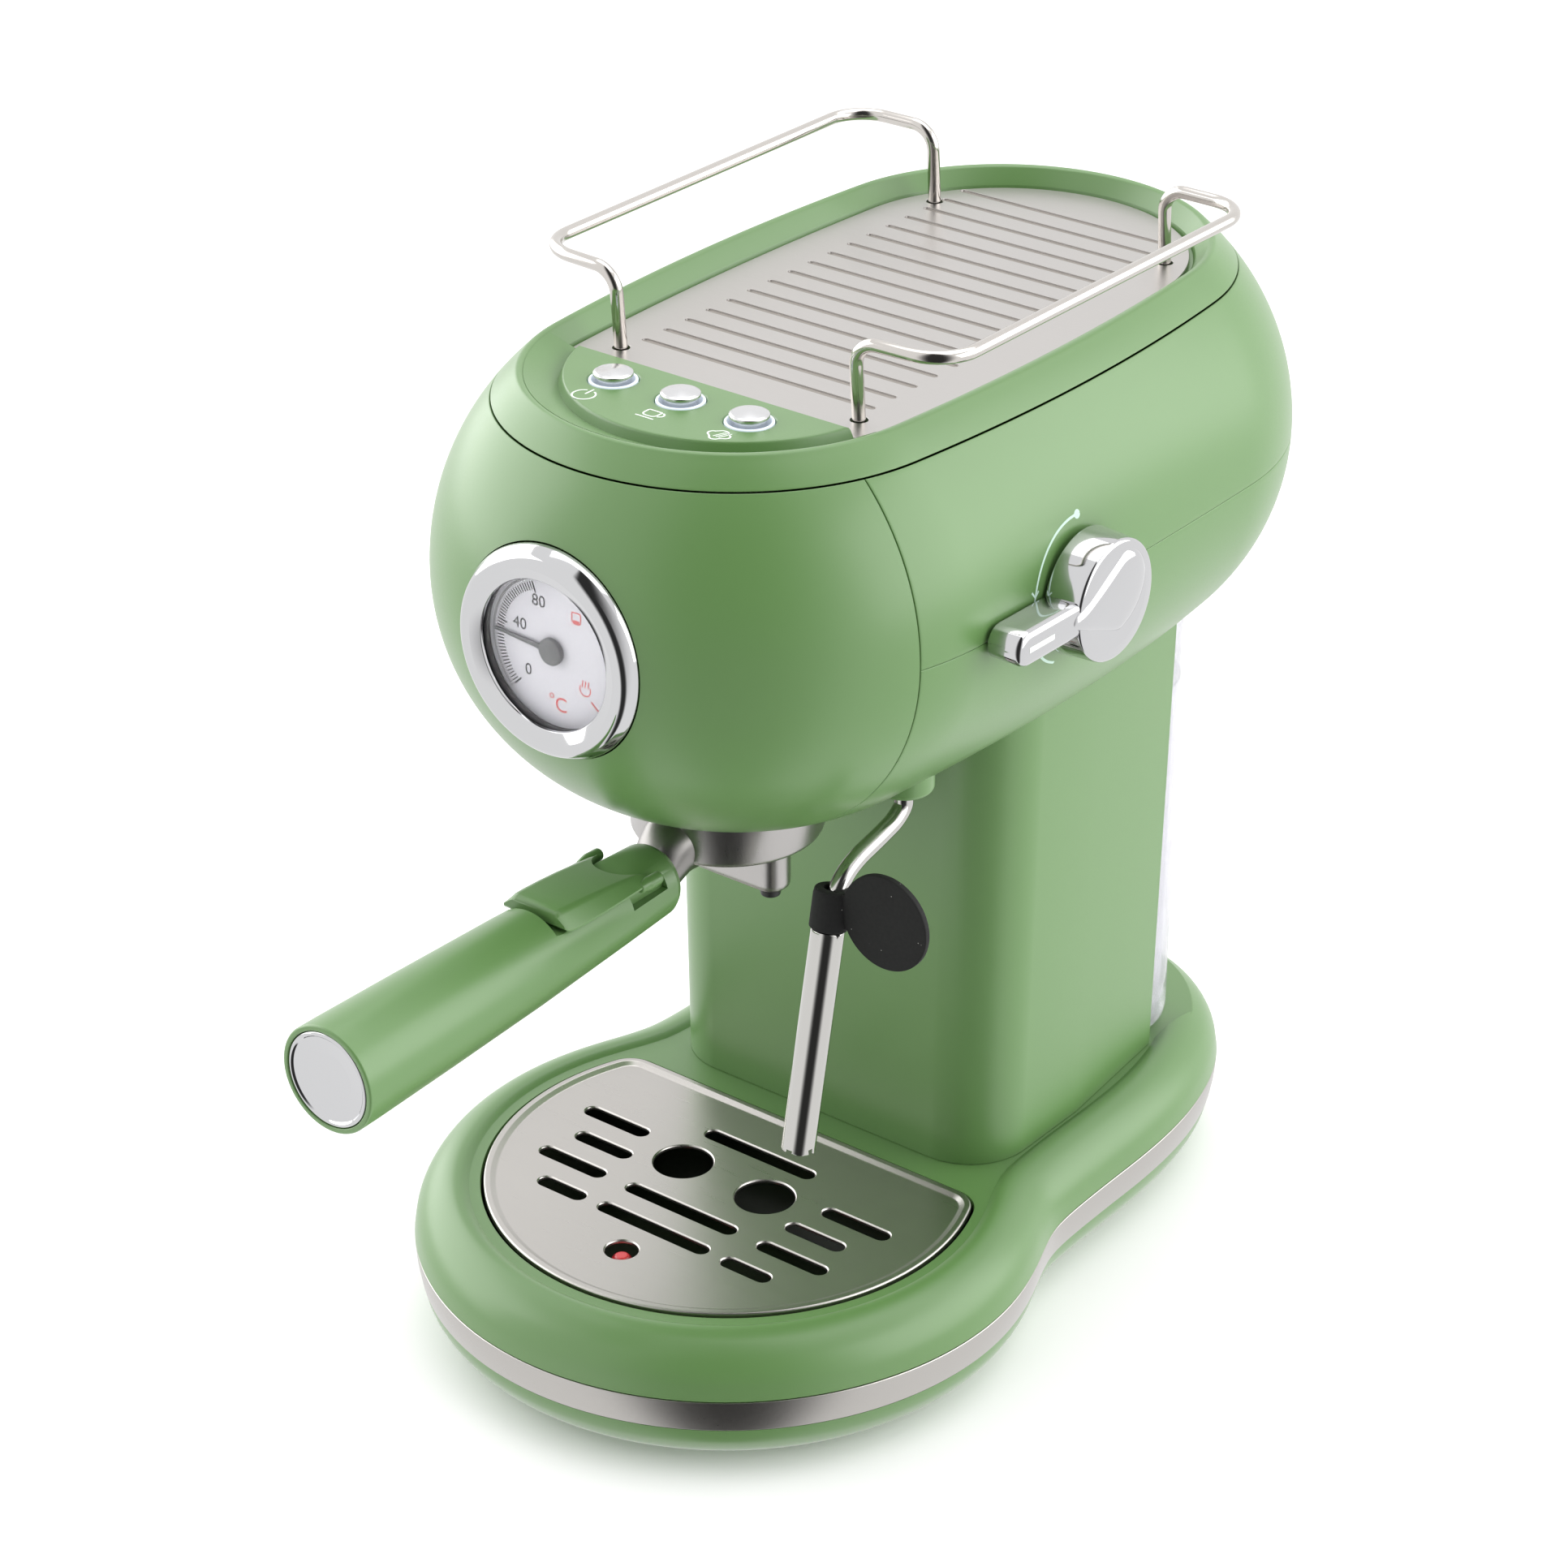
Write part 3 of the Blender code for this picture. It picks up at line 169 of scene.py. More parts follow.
def group_tree(name: str, inputs: dict[str, tuple[str, object]],
               outputs: dict[str, str]) -> bpy.types.NodeTree:
    """Starts a shader node group with named sockets.

    Args:
        name: The group's name.
        inputs: Socket type and default value of each input.
        outputs: Socket type of each output.

    Returns:
        The new tree, with its input and output nodes.
    """
    tree = bpy.data.node_groups.new(name, "ShaderNodeTree")
    for label, (kind, value) in inputs.items():
        socket = tree.interface.new_socket(label, in_out="INPUT", socket_type=kind)
        socket.default_value = value
    for label, kind in outputs.items():
        tree.interface.new_socket(label, in_out="OUTPUT", socket_type=kind)
    tree.nodes.new("NodeGroupInput")
    tree.nodes.new("NodeGroupOutput")
    return tree


FLOAT = "NodeSocketFloat"
COLOUR = "NodeSocketColor"
VECTOR = "NodeSocketVector"


def mottle_group() -> bpy.types.NodeTree:
    """Slow change of colour and roughness over a surface.

    Returns:
        The shader node group.
    """
    tree = group_tree(
        "mottle",
        {"Vector": (VECTOR, (0, 0, 0)), "Scale": (FLOAT, 12.0),
         "Amount": (FLOAT, 0.1), "Colour": (COLOUR, (0.5, 0.5, 0.5, 1)),
         "Roughness": (FLOAT, 0.4), "Spread": (FLOAT, 0.05)},
        {"Colour": COLOUR, "Roughness": FLOAT})
    kit = Nodes(tree)
    gate = tree.nodes["Group Input"].outputs
    out = tree.nodes["Group Output"].inputs
    noise = kit.add("ShaderNodeTexNoise")
    noise.inputs["Detail"].default_value = 4.0
    kit.link(gate["Vector"], noise.inputs["Vector"])
    kit.link(gate["Scale"], noise.inputs["Scale"])
    centred = kit.math("SUBTRACT", noise.outputs["Fac"], 0.5)
    value = kit.math("ADD", kit.math("MULTIPLY", centred, gate["Amount"]), 1.0)
    shade = kit.add("ShaderNodeHueSaturation")
    kit.link(gate["Colour"], shade.inputs["Color"])
    kit.link(value, shade.inputs["Value"])
    kit.link(shade.outputs["Color"], out["Colour"])
    rough = kit.math("MULTIPLY", centred, gate["Spread"])
    kit.link(kit.math("ADD", rough, gate["Roughness"]), out["Roughness"])
    return tree


def grain_group() -> bpy.types.NodeTree:
    """Fine grain, drawn out along an axis for brushing.

    Returns:
        The shader node group.
    """
    tree = group_tree(
        "grain",
        {"Vector": (VECTOR, (0, 0, 0)), "Stretch": (VECTOR, (1, 1, 1)),
         "Scale": (FLOAT, 2000.0)}, {"Height": FLOAT, "Fac": FLOAT})
    kit = Nodes(tree)
    gate = tree.nodes["Group Input"].outputs
    out = tree.nodes["Group Output"].inputs
    pull = kit.add("ShaderNodeVectorMath", operation="MULTIPLY")
    kit.link(gate["Vector"], pull.inputs[0])
    kit.link(gate["Stretch"], pull.inputs[1])
    noise = kit.add("ShaderNodeTexNoise")
    noise.inputs["Detail"].default_value = 3.0
    kit.link(pull.outputs[0], noise.inputs["Vector"])
    kit.link(gate["Scale"], noise.inputs["Scale"])
    kit.link(noise.outputs["Fac"], out["Height"])
    kit.link(noise.outputs["Fac"], out["Fac"])
    return tree


def dust_group() -> bpy.types.NodeTree:
    """Scattered pale specks, as a mask.

    Returns:
        The shader node group.
    """
    tree = group_tree(
        "dust",
        {"Vector": (VECTOR, (0, 0, 0)), "Scale": (FLOAT, 900.0),
         "Reach": (FLOAT, 0.12), "Density": (FLOAT, 0.5)}, {"Mask": FLOAT})
    kit = Nodes(tree)
    gate = tree.nodes["Group Input"].outputs
    out = tree.nodes["Group Output"].inputs
    cells = kit.add("ShaderNodeTexVoronoi")
    kit.link(gate["Vector"], cells.inputs["Vector"])
    kit.link(gate["Scale"], cells.inputs["Scale"])
    speck = kit.math("LESS_THAN", cells.outputs["Distance"], gate["Reach"])
    patch = kit.add("ShaderNodeSeparateColor")
    kit.link(cells.outputs["Color"], patch.inputs[0])
    chosen = kit.math("LESS_THAN", patch.outputs[0], gate["Density"])
    kit.link(kit.math("MULTIPLY", speck, chosen), out["Mask"])
    return tree


GROUPS = {"mottle": mottle_group(), "grain": grain_group(), "dust": dust_group()}


@dataclass(frozen=True)
class Finish:
    """A surface finish: its colour, gloss and fine relief.

    Attributes:
        name: The material's name.
        colour: Linear base colour.
        roughness: Mean roughness.
        metallic: 0 for plastic and paint, 1 for metal.
        mottle: Share by which the colour's value changes.
        spread: Change of roughness over the surface.
        grain: Height of the fine relief, in metres.
        grain_scale: Fineness of that relief.
        stretch: How the relief is drawn out, per axis.
        dust: Share of specks, 0 for none.
        coat: Clear coat weight.
        coat_roughness: Roughness of that coat.
        transmission: Share of light let through.
        alpha: Opacity.
        glow: Emission strength.
    """

    name: str
    colour: Point
    roughness: float
    metallic: float = 0.0
    mottle: float = 0.06
    spread: float = 0.06
    grain: float = 0.0
    grain_scale: float = 1500.0
    stretch: Point = (1.0, 1.0, 1.0)
    dust: float = 0.0
    coat: float = 0.0
    coat_roughness: float = 0.32
    transmission: float = 0.0
    alpha: float = 1.0
    glow: float = 0.0

    def build(self) -> bpy.types.Material:
        """Makes the material.

        Returns:
            The node material.
        """
        made = bpy.data.materials.new(self.name)
        made.use_nodes = True
        kit = Nodes(made.node_tree)
        shader = made.node_tree.nodes["Principled BSDF"]
        where = kit.add("ShaderNodeTexCoord").outputs["Object"]
        mottle = kit.add("ShaderNodeGroup", node_tree=GROUPS["mottle"])
        kit.link(where, mottle.inputs["Vector"])
        mottle.inputs["Amount"].default_value = self.mottle
        mottle.inputs["Colour"].default_value = (*self.colour, 1.0)
        mottle.inputs["Roughness"].default_value = self.roughness
        mottle.inputs["Spread"].default_value = self.spread
        colour = mottle.outputs["Colour"]
        rough = mottle.outputs["Roughness"]
        if self.grain:
            rough = self._relief(kit, shader, where, rough)
        if self.dust:
            colour = self._dust(kit, where, colour)
        kit.link(colour, shader.inputs["Base Color"])
        kit.link(rough, shader.inputs["Roughness"])
        shader.inputs["Metallic"].default_value = self.metallic
        shader.inputs["Coat Weight"].default_value = self.coat
        shader.inputs["Coat Roughness"].default_value = self.coat_roughness
        shader.inputs["Transmission Weight"].default_value = self.transmission
        shader.inputs["Alpha"].default_value = self.alpha
        if self.glow:
            kit.link(colour, shader.inputs["Emission Color"])
            shader.inputs["Emission Strength"].default_value = self.glow
        return made

    def _relief(self, kit: Nodes, shader: bpy.types.Node,
                where: bpy.types.NodeSocket,
                rough: bpy.types.NodeSocket) -> bpy.types.NodeSocket:
        """Adds the grain's bump, and roughness that follows it.

        Args:
            kit: The material's nodes.
            shader: The Principled BSDF.
            where: Object coordinates.
            rough: The roughness so far.

        Returns:
            The roughness with the grain in it.
        """
        grain = kit.add("ShaderNodeGroup", node_tree=GROUPS["grain"])
        kit.link(where, grain.inputs["Vector"])
        grain.inputs["Stretch"].default_value = self.stretch
        grain.inputs["Scale"].default_value = self.grain_scale
        bump = kit.add("ShaderNodeBump")
        bump.inputs["Distance"].default_value = self.grain
        bump.inputs["Strength"].default_value = 0.6
        kit.link(grain.outputs["Height"], bump.inputs["Height"])
        kit.link(bump.outputs["Normal"], shader.inputs["Normal"])
        centred = kit.math("SUBTRACT", grain.outputs["Fac"], 0.5)
        return kit.math("ADD", kit.math("MULTIPLY", centred, 0.12), rough)

    def _dust(self, kit: Nodes, where: bpy.types.NodeSocket,
              colour: bpy.types.NodeSocket) -> bpy.types.NodeSocket:
        """Lays pale specks over a colour.

        Args:
            kit: The material's nodes.
            where: Object coordinates.
            colour: The colour below the specks.

        Returns:
            The dusted colour.
        """
        dust = kit.add("ShaderNodeGroup", node_tree=GROUPS["dust"])
        kit.link(where, dust.inputs["Vector"])
        dust.inputs["Density"].default_value = self.dust
        mix = kit.add("ShaderNodeMix", data_type="RGBA")
        kit.link(dust.outputs["Mask"], mix.inputs["Factor"])
        kit.link(colour, mix.inputs[6])
        mix.inputs[7].default_value = (0.45, 0.44, 0.42, 1.0)
        return mix.outputs[2]


class Paint(Enum):
    """The finishes of this machine."""

    GREEN = Finish("sage_green", (0.116, 0.238, 0.072), 0.36, mottle=0.03,
                   spread=0.05, grain=0.00001, grain_scale=1800.0, coat=0.5)
    STEEL = Finish("brushed_steel", (0.49, 0.472, 0.45), 0.30, 1.0, mottle=0.05,
                   grain=0.00002, grain_scale=1600.0, stretch=(0.04, 1.0, 1.0))
    PLATE = Finish("brushed_plate", (0.52, 0.50, 0.485), 0.34, 1.0, mottle=0.04,
                   grain=0.00001, grain_scale=1600.0, stretch=(0.04, 1.0, 1.0))
    # Painted shade: a darker steel for the floors of the plate's grooves, standing in for the
    # shadow that falls in them.
    GROOVE = Finish("groove_floor", (0.33, 0.305, 0.28), 0.5, 1.0, mottle=0.05)
    BUTTON = Finish("spun_cap", (0.66, 0.66, 0.67), 0.22, 1.0, mottle=0.03)
    STEEL_TUBE = Finish("polished_tube", (0.55, 0.54, 0.52), 0.12, 1.0, mottle=0.03)
    CHROME = Finish("chrome", (0.58, 0.58, 0.59), 0.06, 1.0, mottle=0.02,
                    spread=0.02)
    WIRE = Finish("polished_wire", (0.60, 0.57, 0.54), 0.14, 1.0, mottle=0.04,
                  spread=0.04)
    CAST = Finish("machined_aluminium", (0.48, 0.465, 0.455), 0.30, 1.0,
                  grain=0.00001, grain_scale=1800.0, stretch=(1.0, 1.0, 0.15))
    NECK = Finish("dark_casting", (0.30, 0.29, 0.28), 0.34, 1.0)
    RUBBER = Finish("black_rubber", (0.006, 0.006, 0.006), 0.78, mottle=0.2,
                    grain=0.00002, grain_scale=900.0, dust=0.1)
    BLACK = Finish("black_plastic", (0.012, 0.012, 0.013), 0.45, grain=0.00001)
    OLIVE = Finish("tray_plastic", (0.03, 0.045, 0.022), 0.45)
    GREY = Finish("grey_plastic", (0.15, 0.15, 0.155), 0.42)
    LIGHT = Finish("lit_ring", (0.74, 0.82, 0.92), 0.30, glow=0.25)
    DIAL = Finish("dial_face", (0.72, 0.71, 0.76), 0.55, mottle=0.03)
    INK = Finish("dark_print", (0.035, 0.035, 0.04), 0.6)
    RED_INK = Finish("red_print", (0.72, 0.10, 0.10), 0.5)
    WHITE_INK = Finish("white_print", (0.80, 0.86, 0.80), 0.45)
    PALE_INK = Finish("pale_print", (0.55, 0.74, 0.64), 0.45)
    RED = Finish("red_plastic", (0.72, 0.035, 0.045), 0.28, coat=0.5)
    TANK = Finish("clear_tank", (0.80, 0.79, 0.86), 0.12, mottle=0.02,
                  transmission=0.7, alpha=0.62)
    GLASS = Finish("gauge_lens", (1.0, 1.0, 1.0), 0.02, mottle=0.0, spread=0.01,
                   transmission=1.0, alpha=0.06)
    BRASS = Finish("brass", (0.60, 0.42, 0.16), 0.30, 1.0)
    BOARD = Finish("circuit_board", (0.02, 0.10, 0.04), 0.5)


MATERIALS = {paint: paint.value.build() for paint in Paint}


# ------------------------------------------------------------- making shapes


def publish(made: bpy.types.Object, paint: Paint, body: str = "machine",
            stands_for: Sequence[str] = ()) -> None:
    """Dresses a finished piece, and ties it to its body.

    Args:
        made: The piece, with its place in its mesh.
        paint: Its finish.
        body: The body that it rides on.
        stands_for: The frame's nodes that it stands for.
    """
    made.data.materials.clear()
    made.data.materials.append(MATERIALS[paint])
    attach(made, body)
    if stands_for:
        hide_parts(*stands_for)
    LOG.info("%s on %s, %d faces", made.name, body, len(made.data.polygons))


def put(name: str, data: bpy.types.ID) -> bpy.types.Object:
    """Makes an object that holds the data, and links it into the scene."""
    made = bpy.data.objects.new(name, data)
    bpy.context.scene.collection.objects.link(made)
    return made


def evaluated(made: bpy.types.Object) -> bpy.types.Mesh:
    """Makes the plain mesh that an object comes to, with its modifiers applied."""
    bpy.context.view_layer.update()
    graph = bpy.context.evaluated_depsgraph_get()
    return bpy.data.meshes.new_from_object(made.evaluated_get(graph))


def mesh_from(name: str, points: Sequence[Point], faces: Sequence[Sequence[int]],
              crease_deg: float = CREASE_DEG) -> bpy.types.Object:
    """Makes an object from points about the datum.

    Args:
        name: The object's name.
        points: Places in millimetres about the datum.
        faces: Corner numbers of each face.
        crease_deg: Edges sharper than this stay sharp.

    Returns:
        The object, smooth shaded, with its normals outwards.
    """
    mesh = bpy.data.meshes.new(name)
    mesh.from_pydata([DATUM.place(p) for p in points], [], faces)
    return finish_mesh(name, mesh, crease_deg)


def finish_mesh(name: str, mesh: bpy.types.Mesh,
                crease_deg: float = CREASE_DEG) -> bpy.types.Object:
    """Merges doubles, turns normals outwards and shades a mesh smooth.

    Args:
        name: The object's name.
        mesh: The mesh, in the frame's metres.
        crease_deg: Edges sharper than this stay sharp.

    Returns:
        The object that holds the mesh.
    """
    work = bmesh.new()
    work.from_mesh(mesh)
    bmesh.ops.remove_doubles(work, verts=work.verts, dist=WELD)
    bmesh.ops.recalc_face_normals(work, faces=work.faces)
    work.to_mesh(mesh)
    work.free()
    mesh.shade_smooth()
    mesh.set_sharp_from_angle(angle=math.radians(crease_deg))
    return put(name, mesh)


def loft(name: str, rings: Sequence[Ring], closed: bool = False,
         crease_deg: float = CREASE_DEG) -> bpy.types.Object:
    """Skins matching rings.

    Args:
        name: The object's name.
        rings: Rings of equal length, in order.
        closed: Joins the last ring to the first; otherwise both get caps.
        crease_deg: Edges sharper than this stay sharp.

    Returns:
        The object.
    """
    count = len(rings[0])
    points = [p for ring in rings for p in ring]
    faces: list[tuple[int, ...]] = []
    last = len(rings) if closed else len(rings) - 1
    for i in range(last):
        a = i * count
        b = ((i + 1) % len(rings)) * count
        for j in range(count):
            k = (j + 1) % count
            faces.append((a + j, a + k, b + k, b + j))
    if not closed:
        faces.append(tuple(range(count)))
        faces.append(tuple(range((len(rings) - 1) * count, len(points))))
    return mesh_from(name, points, faces, crease_deg)


def fillet(corners: Corners, closed: bool = False,
           steps: int = 5) -> Outline:
    """Rounds the corners of a flat outline.

    Args:
        corners: Pairs, or triples whose third number is the corner's radius.
        closed: Whether the outline runs back to its start.
        steps: Points along each rounded corner.

    Returns:
        The rounded outline.
    """
    path: Outline = []
    count = len(corners)
    for i, corner in enumerate(corners):
        here = Vector(corner[:2])
        bend = corner[2] if len(corner) > 2 else 0.0
        end = not closed and i in (0, count - 1)
        if not bend or end:
            path.append((here.x, here.y))
            continue
        back = Vector(corners[i - 1][:2]) - here
        ahead = Vector(corners[(i + 1) % count][:2]) - here
        half = back.angle(ahead) / 2
        reach = min(bend / math.tan(half), back.length * 0.49, ahead.length * 0.49)
        bend = reach * math.tan(half)
        middle = (back.normalized() + ahead.normalized()).normalized()
        centre = here + middle * (bend / math.sin(half))
        first = here + back.normalized() * reach - centre
        last = here + ahead.normalized() * reach - centre
        turn = math.atan2(first.x * last.y - first.y * last.x, first.dot(last))
        for k in range(steps + 1):
            a = turn * k / steps
            x = first.x * math.cos(a) - first.y * math.sin(a)
            y = first.x * math.sin(a) + first.y * math.cos(a)
            path.append((centre.x + x, centre.y + y))
    return path


def turned(name: str, centre: Point, axis: Axis, corners: Corners,
           closed: bool = False, count: int = 96,
           crease_deg: float = CREASE_DEG) -> bpy.types.Object:
    """A piece turned on a lathe.

    Args:
        name: The object's name.
        centre: A point on the axis, about the datum.
        axis: The axis's direction.
        corners: (radius, distance along the axis[, corner radius]).
        closed: For a ring, whose outline runs back to its start.
        count: Sides of each circle.
        crease_deg: Edges sharper than this stay sharp.

    Returns:
        The object.
    """
    step = {Axis.X: 0, Axis.Y: 1, Axis.Z: 2}[axis]
    rings = []
    for radius, along in fillet(corners, closed):
        ring = []
        for i in range(count):
            a = 2 * math.pi * i / count
            offset = [radius * math.cos(a), radius * math.sin(a)]
            offset.insert(step, along)
            ring.append(tuple(centre[k] + offset[k] for k in range(3)))
        rings.append(ring)
    return loft(name, rings, closed, crease_deg)


def bent(corners: Sequence[Point], bends: Sequence[float],
         steps: int = 10) -> list[Vector]:
    """A path through corners, with a circular bend at each inner one.

    Args:
        corners: The corners, about the datum.
        bends: The radius of each bend.
        steps: Points along each bend.

    Returns:
        The path's points.
    """
    spots = [Vector(c) for c in corners]
    path = [spots[0]]
    for i in range(1, len(spots) - 1):
        back = (spots[i - 1] - spots[i]).normalized()
        ahead = (spots[i + 1] - spots[i]).normalized()
        half = back.angle(ahead) / 2
        bend = bends[i - 1]
        reach = bend / math.tan(half)
        centre = spots[i] + (back + ahead).normalized() * (bend / math.sin(half))
        first = spots[i] + back * reach - centre
        last = spots[i] + ahead * reach - centre
        turn = first.rotation_difference(last)
        for k in range(steps + 1):
            arc = first.copy()
            arc.rotate(Quaternion(turn.axis, turn.angle * k / steps))
            path.append(centre + arc)
    path.append(spots[-1])
    return path


def circle(centre: Vector, side: Vector, up: Vector, radius: float, count: int) -> Ring:
    """A circle about a centre, in the plane of two unit vectors."""
    angles = [2 * math.pi * i / count for i in range(count)]
    return [tuple(centre + (side * math.cos(a) + up * math.sin(a)) * radius)
            for a in angles]


def sweep(name: str, path: Sequence[Vector], radii: Sequence[float],
          count: int = 32) -> bpy.types.Object:
    """A round bar along a path.

    Args:
        name: The object's name.
        path: The bar's centre line, about the datum.
        radii: A radius for each point.
        count: Sides of the bar.

    Returns:
        The object.
    """
    last = len(path) - 1
    before = (path[1] - path[0]).normalized()
    side = before.orthogonal().normalized()
    rings = []
    for i, spot in enumerate(path):
        tangent = (path[min(i + 1, last)] - path[max(i - 1, 0)]).normalized()
        side = before.rotation_difference(tangent) @ side
        before = tangent
        up = tangent.cross(side).normalized()
        rings.append(circle(spot, side, up, radii[i], count))
    return loft(name, rings)


def block(name: str, low: Point, high: Point) -> bpy.types.Object:
    """A rectangular helper between two corners, about the datum."""
    x0, y0, z0 = low
    x1, y1, z1 = high
    plan = [(x0, y0), (x1, y0), (x1, y1), (x0, y1)]
    return loft(name, [raised(plan, z0), raised(plan, z1)])


def settle(made: bpy.types.Object) -> bpy.types.Object:
    """Turns a piece with live modifiers into a plain mesh.

    Args:
        made: The piece; it is removed.

    Returns:
        A new object of the same name, without modifiers.
    """
    mesh = evaluated(made)
    name = made.name
    bpy.data.objects.remove(made, do_unlink=True)
    return finish_mesh(name, mesh)


def weigh(made: bpy.types.Object) -> bpy.types.Object:
    """Lets the large faces of a piece rule its shading.

    Args:
        made: The piece, whose mesh is replaced.

    Returns:
        The piece.
    """
    step = made.modifiers.new("weigh", "WEIGHTED_NORMAL")
    step.weight = 100
    step.keep_sharp = True
    mesh = evaluated(made)
    made.modifiers.clear()
    made.data = mesh
    return made


def carve(made: bpy.types.Object,
          cutters: Sequence[bpy.types.Object]) -> bpy.types.Object:
    """Cuts helpers out of a piece.

    Args:
        made: The piece; it is removed.
        cutters: The helpers; they are removed.

    Returns:
        The carved piece.
    """
    for cutter in cutters:
        step = made.modifiers.new("carve", "BOOLEAN")
        step.operation = "DIFFERENCE"
        step.solver = "EXACT"
        step.object = cutter
    result = settle(made)
    for cutter in cutters:
        bpy.data.objects.remove(cutter, do_unlink=True)
    return weigh(result)


def borders(count: int, length: float, lip: float) -> list[tuple[float, float]]:
    """Rows across a patch, with rounded edges at both ends.

    Args:
        count: Rows between the rounded edges.
        length: The patch's size that way, in millimetres.
        lip: Radius of the rounded edges.

    Returns:
        (share of the way, how far the surface sinks there) for each row.
    """
    near = [(lip * f / length, lip * (1 - math.sqrt(1 - (1 - f) ** 2)))
            for f in (0.0, 0.08, 0.3, 0.62, 1.0)]
    start = near[-1][0]
    inner = [(start + (1 - 2 * start) * i / count, 0.0) for i in range(1, count)]
    return near + inner + [(1 - place, sink) for place, sink in reversed(near)]


def patch(name: str, spot: Surface,
          across: Sequence[tuple[float, float]], along: Sequence[tuple[float, float]],
          wall: float) -> bpy.types.Object:
    """A thick patch of a curved surface, with its edges turned in.

    Args:
        name: The object's name.
        spot: Gives the point at (across, along, depth below the surface).
        across: Rows from borders, the first way.
        along: Rows from borders, the second way.
        wall: The patch's thickness.

    Returns:
        The object, a closed body.
    """
    points: list[Point] = []
    for inner in (False, True):
        for v, sink_v in along:
            for u, sink_u in across:
                depth = wall if inner else max(sink_u, sink_v)
                points.append(spot(u, v, depth))
    wide, high = len(across), len(along)
    back = wide * high
    faces: list[tuple[int, ...]] = []
    for j in range(high - 1):
        for i in range(wide - 1):
            a = j * wide + i
            quad = (a, a + 1, a + wide + 1, a + wide)
            faces.append(quad)
            faces.append(tuple(back + k for k in reversed(quad)))
    rim = list(range(wide))
    rim += [j * wide + wide - 1 for j in range(1, high)]
    rim += [(high - 1) * wide + i for i in range(wide - 2, -1, -1)]
    rim += [j * wide for j in range(high - 2, 0, -1)]
    for k, a in enumerate(rim):
        b = rim[(k + 1) % len(rim)]
        faces.append((b, a, back + a, back + b))
    return mesh_from(name, points, faces)


def flowing(corners: Outline, steps: int = 6) -> Outline:
    """A smooth curve through the corners of an outline."""
    path: Outline = []
    last = len(corners) - 1
    for i in range(last):
        p0 = Vector(corners[max(i - 1, 0)])
        p1 = Vector(corners[i])
        p2 = Vector(corners[i + 1])
        p3 = Vector(corners[min(i + 2, last)])
        for k in range(steps):
            t = k / steps
            spot = 0.5 * ((2 * p1) + (p2 - p0) * t
                          + (2 * p0 - 5 * p1 + 4 * p2 - p3) * t * t
                          + (3 * p1 - p0 - 3 * p2 + p3) * t ** 3)
            path.append((spot.x, spot.y))
    path.append(tuple(corners[-1]))
    return path


def repeat_tree() -> bpy.types.NodeTree:
    """Geometry nodes that repeat a shape along a line or round a pivot.

    Returns:
        The node tree, with its inputs named.
    """
    tree = bpy.data.node_groups.new("repeat", "GeometryNodeTree")
    face = tree.interface
    face.new_socket("Geometry", in_out="INPUT", socket_type="NodeSocketGeometry")
    face.new_socket("Count", in_out="INPUT", socket_type="NodeSocketInt")
    face.new_socket("Step", in_out="INPUT", socket_type=VECTOR)
    face.new_socket("Turn", in_out="INPUT", socket_type=VECTOR)
    face.new_socket("Pivot", in_out="INPUT", socket_type=VECTOR)
    face.new_socket("Material", in_out="INPUT", socket_type="NodeSocketMaterial")
    face.new_socket("Geometry", in_out="OUTPUT", socket_type="NodeSocketGeometry")
    kit = Nodes(tree)
    gate = kit.add("NodeGroupInput").outputs
    line = kit.add("GeometryNodeMeshLine", mode="OFFSET")
    place = kit.add("GeometryNodeInstanceOnPoints")
    spin = kit.add("ShaderNodeVectorMath", operation="SCALE")
    turn = kit.add("GeometryNodeRotateInstances")
    real = kit.add("GeometryNodeRealizeInstances")
    dress = kit.add("GeometryNodeSetMaterial")
    out = kit.add("NodeGroupOutput").inputs
    turn.inputs["Local Space"].default_value = False
    kit.link(gate["Count"], line.inputs["Count"])
    kit.link(gate["Step"], line.inputs["Offset"])
    kit.link(line.outputs["Mesh"], place.inputs["Points"])
    kit.link(gate["Geometry"], place.inputs["Instance"])
    kit.link(gate["Turn"], spin.inputs[0])
    kit.link(kit.add("GeometryNodeInputIndex").outputs[0], spin.inputs["Scale"])
    kit.link(place.outputs[0], turn.inputs["Instances"])
    kit.link(spin.outputs[0], turn.inputs["Rotation"])
    kit.link(gate["Pivot"], turn.inputs["Pivot Point"])
    kit.link(turn.outputs[0], real.inputs[0])
    kit.link(real.outputs[0], dress.inputs[0])
    kit.link(gate["Material"], dress.inputs["Material"])
    kit.link(dress.outputs[0], out["Geometry"])
    return tree


REPEAT = repeat_tree()


def repeated(seed: bpy.types.Object, count: int, step: Point = (0, 0, 0),
             turn: Point = (0, 0, 0), pivot: Point = (0, 0, 0),
             paint: Paint = Paint.STEEL) -> bpy.types.Object:
    """Repeats a shape with the shared geometry nodes.

    Args:
        seed: The shape; it is removed.
        count: How many there are.
        step: From one to the next, in millimetres.
        turn: From one to the next, in degrees about each axis.
        pivot: The centre of that turn, about the datum.
        paint: The material of the copies.

    Returns:
        One plain mesh object with all of them.
    """
    nodes = seed.modifiers.new("repeat", "NODES")
    values = {
        "Count": count, "Step": [s * MM for s in step],
        "Turn": [math.radians(t) for t in turn],
        "Pivot": list(DATUM.place(pivot)), "Material": MATERIALS[paint],
    }
    nodes.node_group = REPEAT
    for item in REPEAT.interface.items_tree:
        if item.item_type == "SOCKET" and item.in_out == "INPUT":
            if item.name in values:
                nodes[item.identifier] = values[item.name]
    seed.update_tag()
    return settle(seed)


